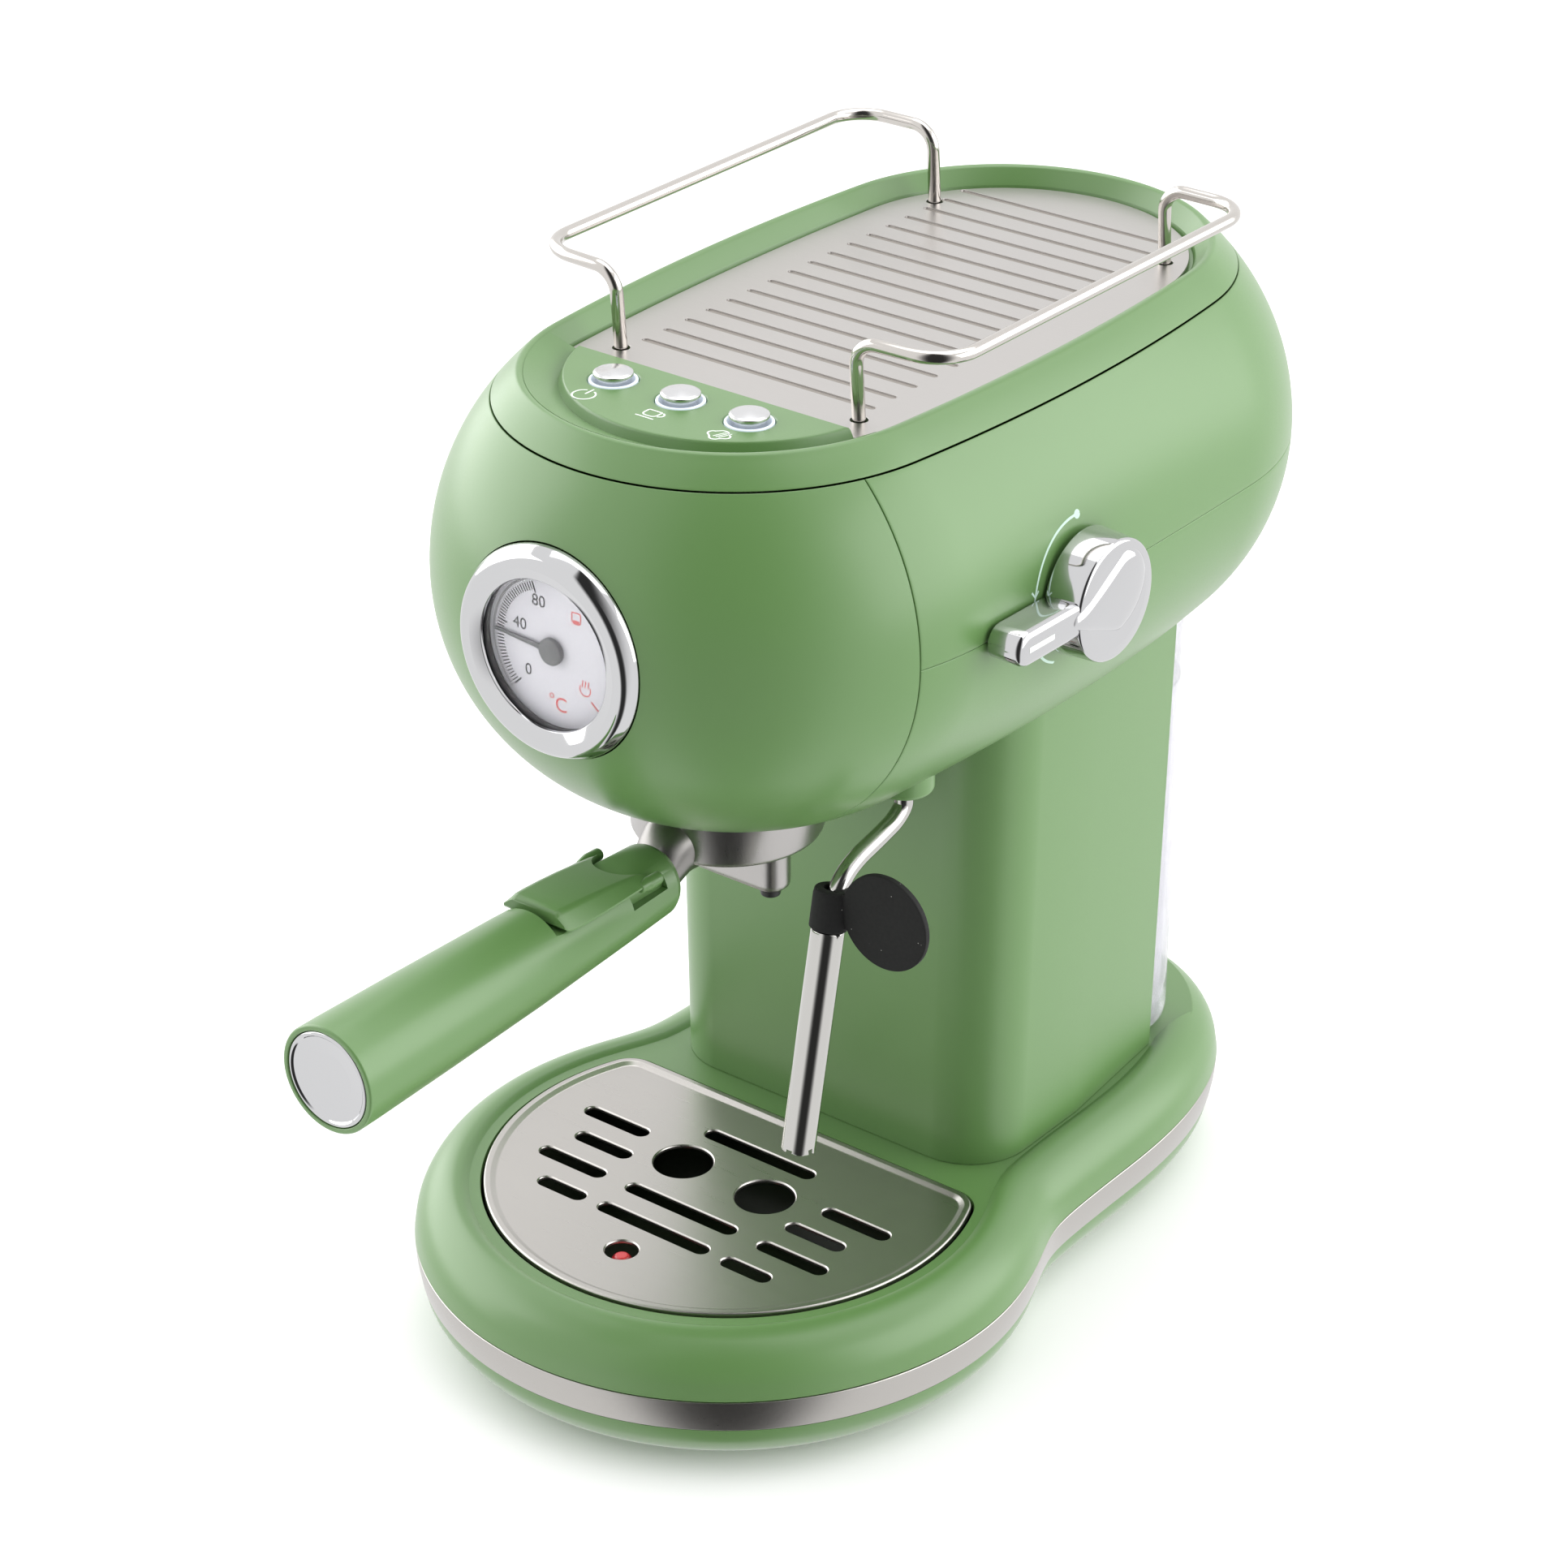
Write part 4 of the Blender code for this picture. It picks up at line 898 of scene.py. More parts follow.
def stroke(name: str, path: Sequence[tuple[float, float]], width: float,
           place: Surface, thick: float = 0.06,
           closed: bool = False) -> bpy.types.Object:
    """A printed line of even width.

    Args:
        name: The object's name.
        path: The line's points on the printed face.
        width: The line's width.
        place: Gives the point at (right, up, height above the face).
        thick: The print's height.
        closed: Whether the line runs back to its start.

    Returns:
        The object.
    """
    count = len(path)
    edges: list[tuple[Vector, Vector]] = []
    for i, spot in enumerate(path):
        here = Vector(spot)
        back = Vector(path[i - 1]) if closed or i else here
        ahead = Vector(path[(i + 1) % count]) if closed or i < count - 1 else here
        way = (ahead - back).normalized()
        side = Vector((-way.y, way.x)) * (width / 2)
        edges.append((here + side, here - side))
    rings = []
    for left, right in edges:
        rings.append([place(left.x, left.y, thick), place(right.x, right.y, thick),
                      place(right.x, right.y, -thick), place(left.x, left.y, -thick)])
    return loft(name, rings, closed)


def arc(centre: tuple[float, float], radius: float, start: float, end: float,
        count: int = 24) -> Outline:
    """Points along an arc, from one angle in degrees to another."""
    path = []
    for i in range(count + 1):
        a = math.radians(start + (end - start) * i / count)
        path.append((centre[0] + radius * math.cos(a),
                     centre[1] + radius * math.sin(a)))
    return path


def raised(path: Outline, z: float) -> Ring:
    """Puts a flat outline at a height."""
    return [(x, y, z) for x, y in path]


def pill(x: float, y: float, reach: float, half: float, z: float, count: int) -> Ring:
    """The plan of a round-ended slot at a height.

    Args:
        x: The middle of the slot.
        y: The middle of the slot.
        reach: From the middle to the centre of each round end.
        half: Half the slot's width.
        z: The ring's height.
        count: Steps round each end.

    Returns:
        The ring.
    """
    right = arc((x + reach, y), half, -90, 90, count)
    left = arc((x - reach, y), half, 90, 270, count)
    return raised(right + left, z)


def fused(name: str, pieces: Sequence[bpy.types.Object]) -> bpy.types.Object:
    """Puts the meshes of several pieces into one object.

    Args:
        name: The new object's name.
        pieces: The pieces; they are removed.

    Returns:
        The object.
    """
    work = bmesh.new()
    for piece in pieces:
        work.from_mesh(piece.data)
        bpy.data.objects.remove(piece, do_unlink=True)
    mesh = bpy.data.meshes.new(name)
    work.to_mesh(mesh)
    work.free()
    return finish_mesh(name, mesh)


# ---------------------------------------------------------------------- head


@dataclass
class Head:
    """The barrel: front cover, two rear side shells and the top cover."""

    front: float = 4.0
    rear: float = 145.0
    widest: float = 90.75
    round_off: float = 1.3
    swells: tuple[tuple[float, float], ...] = ((55.0, 3.5), (64.0, 4.8), (71.3, 5.5),
                                               (90.75, 2.3))
    waist_z: float = 262.0
    upper_bend: float = 83.0
    lower_bend: float = 74.0
    bottom_z: float = 190.5
    top_seam_z: float = 315.4
    side_seam_z: float = 261.2
    seam_y: float = -21.4
    gap: float = 0.13
    lip: float = 0.32
    wall: float = 2.2
    floor_z: float = 316.6
    gutter_z: float = 314.4
    gauge_z: float = 263.5
    gauge_hole: float = 33.35
    keel_half: float = 39.0
    keel_low: float = 191.4
    keel_high: float = 192.8
    group_hole: float = 34.6

    def angle(self, z: float) -> float:
        """The profile's turn at a height, in radians."""
        drop = z - self.waist_z
        return math.asin(drop / (self.upper_bend if drop > 0 else self.lower_bend))

    def profile(self, turn: float, depth: float = 0.0) -> tuple[float, float]:
        """(half width, height) of the barrel at a turn of its profile."""
        bend = self.upper_bend if turn > 0 else self.lower_bend
        reach = bend - depth
        return (self.widest - bend + reach * math.cos(turn),
                self.waist_z + reach * math.sin(turn))

    def swell(self, width: float) -> float:
        """How much wider the middle of the long side is than the ends."""
        before = self.swells[0]
        for after in self.swells:
            if width <= after[0]:
                span = max(after[0] - before[0], 0.001)
                share = max((width - before[0]) / span, 0.0)
                return before[1] + (after[1] - before[1]) * share
            before = after
        return self.swells[-1][1]

    def oval(self, width: float) -> tuple[float, float, float, float]:
        """The arcs of the plan: two ends and two long sides that touch them.

        Args:
            width: Half width where the ends begin.

        Returns:
            Radius of an end, how far the side's centre lies beyond the middle,
            radius of the side, and the turn at which side and end meet.
        """
        end = width + self.round_off
        rise = self.swell(width) - self.round_off
        half = (self.rear - self.front) / 2 - self.round_off
        beyond = (half * half - rise * rise) / (2 * rise)
        return end, beyond, beyond + width + self.swell(width), math.atan2(half, beyond)

    def reach(self, width: float, y: float) -> float:
        """Half width of the plan at a place along its long side."""
        _, beyond, radius, _ = self.oval(width)
        off = y - (self.front + self.rear) / 2
        return math.sqrt(radius * radius - off * off) - beyond

    def stadium(self, width: float, z: float, ends: int = 56, sides: int = 28,
                least_y: float = -math.inf) -> Ring:
        """The barrel's plan at one half width.

        Args:
            width: Half width at the ends.
            z: The ring's height.
            ends: Points round each end.
            sides: Points along each side.
            least_y: The ring is cut straight at this place.

        Returns:
            The ring.
        """
        end, beyond, radius, meet = self.oval(width)
        middle = (self.front + self.rear) / 2
        half: Outline = []
        for i in range(sides):
            a = meet * (2 * i / sides - 1)
            half.append((radius * math.cos(a) - beyond, middle + radius * math.sin(a)))
        for i in range(ends):
            a = meet + (math.pi - 2 * meet) * i / ends
            half.append((end * math.cos(a), self.rear - self.round_off + end * math.sin(a)))
        other = [(-x, 2 * middle - y) for x, y in half]
        return [(x, max(y, least_y), z) for x, y in half + other]

    def front_spot(self, low: float, high: float) -> Surface:
        """Gives the front cover's surface between two turns of the profile."""
        centre = self.front + self.round_off

        def spot(u: float, v: float, depth: float) -> Point:
            w, z = self.profile(low + (high - low) * v, depth)
            end = w + self.round_off
            edge = math.acos((centre - self.seam_y + self.gap) / end)
            a = edge * (2 * u - 1)
            return (end * math.sin(a), centre - end * math.cos(a), z)
        return spot

    def rear_spot(self, low: float, high: float) -> Surface:
        """Gives the rear shells' surface between two turns of the profile."""
        first, second = 0.26, 0.62
        fore = self.front + self.round_off
        aft = self.rear - self.round_off
        middle = (self.front + self.rear) / 2

        def spot(u: float, v: float, depth: float) -> Point:
            w, z = self.profile(low + (high - low) * v, depth)
            end, beyond, radius, meet = self.oval(w)
            edge = math.acos((fore - self.seam_y - self.gap) / end)
            side = 1 if u < 0.5 else -1
            share = 2 * u if u < 0.5 else 2 - 2 * u
            if share < first:
                a = edge + (math.pi / 2 - meet - edge) * share / first
                return (side * end * math.sin(a), fore - end * math.cos(a), z)
            if share < second:
                a = meet * (2 * (share - first) / (second - first) - 1)
                return (side * (radius * math.cos(a) - beyond),
                        middle + radius * math.sin(a), z)
            a = (math.pi / 2 - meet) * (1 - (share - second) / (1 - second))
            return (side * end * math.sin(a), aft + end * math.cos(a), z)
        return spot

    def build(self) -> None:
        """Builds and dresses the four pieces of the head."""
        low = self.angle(self.bottom_z)
        middle = self.angle(self.side_seam_z)
        high = self.angle(self.top_seam_z)
        slit = self.gap / self.upper_bend
        # the seam along the side is finer than the two round the covers
        fine = slit * 0.35
        cover = patch("head_front", self.front_spot(low, high - slit),
                      borders(110, 200.0, self.lip), borders(90, 150.0, self.lip),
                      self.wall)
        hole = turned("hole", (0, -120, self.gauge_z), Axis.Y,
                      [(self.gauge_hole, 0), (self.gauge_hole, 55)])
        publish(carve(cover, [hole]), Paint.GREEN, stands_for=["head_front_cover"])
        for name, start, end, rows, height in (
                ("head_lower", low, middle - fine, 60, 90.0),
                ("head_upper", middle + fine, high - slit, 40, 60.0)):
            shell = patch(name, self.rear_spot(start, end), borders(220, 500.0, self.lip),
                          borders(rows, height, self.lip), self.wall)
            publish(shell, Paint.GREEN, stands_for=[name + "_shell"])
        self._build_top(high + slit)
        self._build_keel()

    def _build_top(self, seam: float) -> None:
        """Builds the rim, its inward slope and the floor below the plate."""
        crest = math.radians(46.9)
        outer = [self.profile(seam + (crest - seam) * i / 10) for i in range(11)]
        outer[0] = (*outer[0], self.lip)
        corners = outer + [(63.2, 323.95, 1.6), (61.4, 323.5, 1.4), (57.5, 318.4, 0.9),
                           (56.9, self.floor_z, 0.5), (40.0, self.floor_z),
                           (40.0, self.gutter_z), (60.0, self.gutter_z),
                           (66.0, self.top_seam_z + 0.3)]
        rings = [self.stadium(w, z) for w, z in fillet(corners, True)]
        publish(loft("head_top", rings, True), Paint.GREEN, stands_for=["top_cover"])

    def _build_keel(self) -> None:
        """Closes the underside between the group and the column."""
        plan = [self.stadium(self.keel_half, z) for z in (self.keel_low, self.keel_high)]
        hole = turned("hole", (0, 0, 180), Axis.Z,
                      [(self.group_hole, 0), (self.group_hole, 30)])
        publish(carve(loft("head_keel", plan), [hole]), Paint.GREEN)


# ---------------------------------------------------------------------- base


@dataclass
class Base:
    """The round base: cover, steel band, pan and feet."""

    disc: float = 101.6
    disc_y: float = -1.0
    lobe: float = 85.6
    lobe_y: float = 100.0
    depth: float = 117.0
    power: float = 2.5
    blend: float = 7.0
    lobe_start: float = 20.0
    lobe_run: float = 60.0
    middle_y: float = 55.0
    farthest: float = 260.0
    deck_z: float = 44.7
    count: int = 220

    def half_width(self, y: float, inset: float) -> float:
        """Half width of the base outline at a place along it."""
        front = self.disc - inset
        rear = self.lobe - inset
        reach = front * front - (y - self.disc_y) ** 2
        disc = math.sqrt(reach) if reach > 0 else 0.0
        if y > self.lobe_y:
            t = min((y - self.lobe_y) / (self.depth - inset), 1.0)
            lobe = rear * (1 - t ** self.power) ** (1 / self.power)
        elif y < self.lobe_start:
            t = min((self.lobe_start - y) / self.lobe_run, 1.0)
            lobe = rear * math.sqrt(1 - t * t)
        else:
            lobe = rear
        if disc == 0.0 and lobe == 0.0:
            return 0.0
        spread = self.blend * min(disc, lobe) / max(disc, lobe)
        return 0.5 * (disc + lobe + math.sqrt((disc - lobe) ** 2 + spread ** 2))

    def ring(self, inset: float, z: float) -> Ring:
        """The base outline moved inwards, sampled at even angles."""
        ring: Ring = []
        for i in range(self.count):
            a = 2 * math.pi * i / self.count
            low, high = 0.0, self.farthest
            for _ in range(22):
                reach = (low + high) / 2
                y = self.middle_y + reach * math.sin(a)
                half = self.half_width(y, inset)
                if half > 0 and abs(reach * math.cos(a)) <= half:
                    low = reach
                else:
                    high = reach
            ring.append((low * math.cos(a), self.middle_y + low * math.sin(a), z))
        return ring

    def build(self, grille: "Grille") -> None:
        """Builds and dresses the base.

        Args:
            grille: The drip grille, which sits in the cover's well.
        """
        outline = flowing([(18.3, self.deck_z), (15.6, 46.2), (12.4, 46.1),
                           (8.4, 44.3), (4.2, 40.6), (1.3, 35.2), (0.15, 28.9)], 5)
        inner = [(0.7, 28.55), (2.7, 28.8), (4.0, 34.4), (7.2, 39.0), (12.0, 41.8),
                 (20.6, 42.0)]
        rings = [self.ring(24.0, self.deck_z)]
        rings += [self.ring(d, z) for d, z in outline + inner]
        cover = loft("base_cover_shell", rings)
        well = loft("well", [grille.outline(d, z) for d, z in (
            (-0.8, 38.0), (-0.8, 43.9), (-1.1, self.deck_z + 0.02), (-1.1, 52.0))])
        # the tank slides out over this flat way
        way = block("way", (-61.0, 150.5, self.deck_z), (61.0, 230.0, 52.0))
        publish(carve(cover, [well, way]), Paint.GREEN, stands_for=["base_cover"])
        band = fillet([(0.1, 28.4, 0.4), (0.5, 22.8), (1.4, 17.3, 0.4), (3.6, 17.3),
                       (2.2, 28.4)], True)
        rings = [self.ring(d, z) for d, z in band]
        publish(loft("base_steel_band", rings, True), Paint.STEEL,
                stands_for=["base_band"])
        outer = flowing([(1.75, 17.05), (2.2, 14.2), (3.4, 11.0), (6.6, 6.4),
                         (11.0, 3.2), (16.0, 2.0)], 4)
        inner = [(17.0, 4.6), (14.0, 5.0), (9.0, 8.0), (6.0, 11.8), (4.2, 16.9)]
        rings = [self.ring(d, z) for d, z in outer + inner]
        pan = loft("base_underside", rings, True)
        floor = self.ring(16.5, 2.2), self.ring(16.5, 4.2)
        publish(fused("base_underside", [pan, loft("floor", floor)]), Paint.GREEN,
                stands_for=["base_pan"])
        for label, x, y in (("front_left", -60, -45), ("front_right", 60, -45),
                            ("rear_left", -52, 172), ("rear_right", 52, 172)):
            foot = turned("foot_" + label + "_pad", (x, y, 0), Axis.Z,
                          [(0.01, 0.0), (8.4, 0.0, 0.3), (9.0, 0.8, 0.3),
                           (9.0, 2.1), (0.01, 2.1)])
            publish(foot, Paint.RUBBER, stands_for=["foot_" + label])


@dataclass
class Grille:
    """The drip tray, its slotted grille and the level float."""

    radius: float = 79.5
    back: float = 36.5
    corner: float = 10.0
    slot_width: float = 5.4
    cup_hole: float = 9.75
    float_y: float = -54.7
    # (how much wider, height) of a hole, whose mouth is rolled over a little
    mouth: tuple[tuple[float, float], ...] = (
        (0.0, 40.0), (0.0, 44.1), (0.12, 44.4), (0.45, 44.68), (0.8, 44.9), (0.8, 48.0))

    def outline(self, inset: float, z: float) -> Ring:
        """The grille's plan, a disc with a straight back, moved inwards."""
        radius = self.radius - inset
        back = self.back - inset
        bend = max(self.corner - inset, 2.0)
        cx = math.sqrt((radius - bend) ** 2 - (back - bend) ** 2)
        cy = back - bend
        turn = math.degrees(math.atan2(cy, cx))
        path = arc((cx, cy), bend, turn, 90, 10) + arc((-cx, cy), bend, 90, 180 - turn, 10)
        path += arc((0, 0), radius, 180 - turn, 360 + turn, 96)[1:-1]
        return raised(path, z)

    def slot(self, x: float, y: float, length: float) -> bpy.types.Object:
        """A round-ended cutter, centred on a place; length is between its end centres."""
        return loft("slot", [pill(x, y, length / 2, self.slot_width / 2 + grow, z, 10)
                             for grow, z in self.mouth])

    def hole(self, x: float, y: float, radius: float) -> bpy.types.Object:
        """A round cutter, centred on a place."""
        return turned("hole", (x, y, 0), Axis.Z,
                      [(radius + grow, z) for grow, z in self.mouth], count=72)

    def build(self) -> None:
        """Builds and dresses the tray, grille and float."""
        shell = [(0.9, 43.2), (0.9, 18.0), (6.0, 9.0), (12.0, 5.2), (14.0, 7.2),
                 (8.0, 10.6), (2.9, 18.6), (2.9, 43.2)]
        tray = loft("tray_shell", [self.outline(d, z) for d, z in shell], True)
        floor = loft("floor", [self.outline(11.0, 5.2), self.outline(11.0, 7.2)])
        publish(fused("tray_shell", [tray, floor]), Paint.OLIVE, "tray", ["drip_tray"])
        lip = fillet([(1.0, 43.5), (0.0, 43.5, 0.3), (0.0, 45.65, 0.7),
                      (2.1, 45.7, 0.9), (3.9, 44.7, 1.4), (7.0, 44.7)])
        plate = loft("grille_plate", [self.outline(d, z) for d, z in lip])
        cutters = []
        for side in Side:
            for x, y, length in ((49.3, 2.0, 20.5), (43.5, -11.7, 17.0),
                                 (45.0, -25.5, 21.2), (37.6, -39.4, 13.3)):
                cutters.append(self.slot(side.value * x, y, length))
            cutters.append(self.hole(side.value * 16.8, -3.4, self.cup_hole))
        cutters += [self.slot(0.0, y, 38.7) for y in (15.3, -25.2, -39.1)]
        cutters.append(self.hole(0.0, self.float_y, 5.3))
        publish(carve(plate, cutters), Paint.STEEL, "grille", ["drip_grille"])
        bob = turned("float_bob", (0, self.float_y, 0), Axis.Z,
                     [(0.01, 7.6), (9.0, 7.6, 1.0), (9.0, 20.0, 1.0), (3.4, 21.5, 0.5),
                      (3.4, 41.2, 1.6), (2.0, 42.7, 1.2), (0.01, 42.7)])
        publish(bob, Paint.RED, "float", ["level_float"])


# ----------------------------------------------------------- column and tank


@dataclass
class Column:
    """The column, with the water tank that slides in behind it."""

    half: float = 66.4
    front: float = 47.5
    rear: float = 150.5
    corner: float = 22.0
    shoulder: float = 100.0
    taper: float = 5.0
    flare: float = 3.0
    flare_low: float = 44.7
    flare_run: float = 145.8
    foot_z: float = 44.9
    top_z: float = 221.0
    wall: float = 2.5
    tank_half: float = 59.4
    tank_front: float = 109.0
    tank_rear: float = 180.0
    tank_corner: float = 24.0

    def ring(self, inset: float, z: float) -> Ring:
        """The column's plan at a height, moved inwards."""
        half = self.half + self.flare * (z - self.flare_low) / self.flare_run - inset
        tail = half - self.taper
        front = self.front + inset
        bend = self.corner - inset
        right = arc((half - bend, front + bend), bend, -90, 0, 16)
        left = arc((-half + bend, front + bend), bend, 180, 270, 16)
        rear = [(half, self.shoulder), (tail, self.rear), (-tail, self.rear),
                (-half, self.shoulder)]
        return raised(right + rear + left, z)

    def tank(self, inset: float, z: float) -> Ring:
        """The tank's plan at a height, moved inwards."""
        half = self.tank_half - inset
        rear = self.tank_rear - inset
        bend = self.tank_corner - inset
        path = [(-half, self.tank_front + inset), (half, self.tank_front + inset)]
        path += arc((half - bend, rear - bend), bend, 0, 90, 14)
        path += arc((-half + bend, rear - bend), bend, 90, 180, 14)
        return raised(path, z)

    def build(self) -> None:
        """Builds and dresses the column and the tank."""
        heights = [self.foot_z, self.foot_z + 0.6]
        heights += [self.foot_z + 6 + 16.9 * i for i in range(11)] + [self.top_z]
        rings = [self.ring(0.0, z) for z in heights]
        rings += [self.ring(self.wall, z) for z in (self.top_z, self.foot_z)]
        back = block("column_back", (-58.0, 104.0, 46.0), (58.0, 106.5, 219.0))
        publish(back, Paint.GREEN)
        bay = block("bay", (-60.2, 108.2, 40.0), (60.2, 160.0, 240.0))
        publish(carve(loft("column_wall", rings, True), [bay]), Paint.GREEN,
                stands_for=["column_shell"])
        shell = [self.tank(d, z) for d, z in (
            (6.0, 45.2), (2.2, 46.6), (0.6, 48.6), (0.0, 51.0), (0.0, 176.0),
            (2.2, 176.0), (2.2, 51.5), (7.0, 47.6))]
        publish(loft("tank_shell", shell), Paint.TANK, "tank", ["water_tank"])
        rim = [self.tank(d, z) for d, z in (
            (0.0, 176.3), (0.0, 201.0), (2.2, 201.0), (2.2, 176.3))]
        publish(loft("tank_collar", rim, True), Paint.TANK, "tank", ["tank_rim"])


# ------------------------------------------------- plate, panel, rails


@dataclass
class WarmingPlate:
    """The steel plate with its pressed grooves, and the two cup rails."""

    half: float = 55.6
    front: float = -5.4
    top_z: float = 318.3
    thick: float = 1.2
    first_groove: float = 15.1
    pitch: float = 10.2
    grooves: int = 17
    groove_half: float = 42.6
    post_x: float = 44.7
    post_front: float = 6.1
    post_rear: float = 165.0
    bar_x: float = 76.2
    bar_z: float = 343.4
    wire: float = 2.05
    wire_low: float = 316.9

    def groove(self) -> bpy.types.Object:
        """A cutter for the first groove, narrower at its floor."""
        return loft("grooves", [self.slim(half, drop) for half, drop in (
            (1.0, 0.75), (1.15, 0.6), (1.2, 0.06), (1.35, -0.02), (1.35, -2.0))])

    def slim(self, half: float, drop: float) -> Ring:
        """The plan of the first groove, a little below the plate's top."""
        return pill(0.0, self.first_groove, self.groove_half, half, self.top_z - drop, 8)

    def build(self, head: Head) -> None:
        """Builds and dresses the plate and rails.

        Args:
            head: The head, whose plan the plate follows.
        """
        rings = []
        for inset, z in ((0.4, self.top_z - self.thick), (0.0, self.top_z - 0.8),
                         (0.0, self.top_z - 0.45), (0.15, self.top_z - 0.12),
                         (0.5, self.top_z)):
            plan = head.stadium(self.half - inset, z, 64, 40, self.front + inset)
            rings.append(self.tidy_front(plan, self.front + inset))
        cutters = [repeated(self.groove(), self.grooves, (0, self.pitch, 0))]
        for side in Side:
            for y in (self.post_front, self.post_rear):
                cutters.append(turned("hole", (side.value * self.post_x, y, 310), Axis.Z,
                                      [(2.75, 0), (2.75, 8.1), (3.2, 8.4), (3.2, 12)],
                                      count=32))
        plate = carve(loft("cup_plate", rings), cutters)
        publish(plate, Paint.PLATE, stands_for=["warming_plate"])
        # Dark strips laid in the grooves: painted shade for the shadow inside each groove.
        floor = loft("groove_floor", [self.slim(1.1, 0.8), self.slim(1.1, 0.45)])
        groove_shade_strips = repeated(floor, self.grooves, (0, self.pitch, 0), paint=Paint.GROOVE)
        publish(groove_shade_strips, Paint.GROOVE)
        for side in Side:
            self.build_rail(side)

    def tidy_front(self, ring: Ring, front: float) -> Ring:
        """Spaces the points of the straight front edge evenly."""
        flat = [i for i, p in enumerate(ring) if p[1] <= front]
        reach = max(ring[i][0] for i in flat)
        tidy = list(ring)
        for k, i in enumerate(flat):
            share = 2 * k / (len(flat) - 1) - 1
            tidy[i] = (share * reach, front, ring[i][2])
        return tidy

    def build_rail(self, side: Side) -> None:
        """Bends one cup rail from wire."""
        post, bar = side.value * self.post_x, side.value * self.bar_x
        corners = [(post, self.post_front, self.wire_low),
                   (post, self.post_front - 2.2, self.bar_z), (bar, 5.6, self.bar_z),
                   (bar, 163.2, self.bar_z), (post, self.post_rear - 1.6, self.bar_z),
                   (post, self.post_rear, self.wire_low)]
        path = bent(corners, [7.5, 14.0, 13.0, 7.5])
        name = side.name.lower()
        wire = sweep("cup_rail_" + name, path, [self.wire] * len(path))
        publish(wire, Paint.WIRE, stands_for=["rail_" + name])


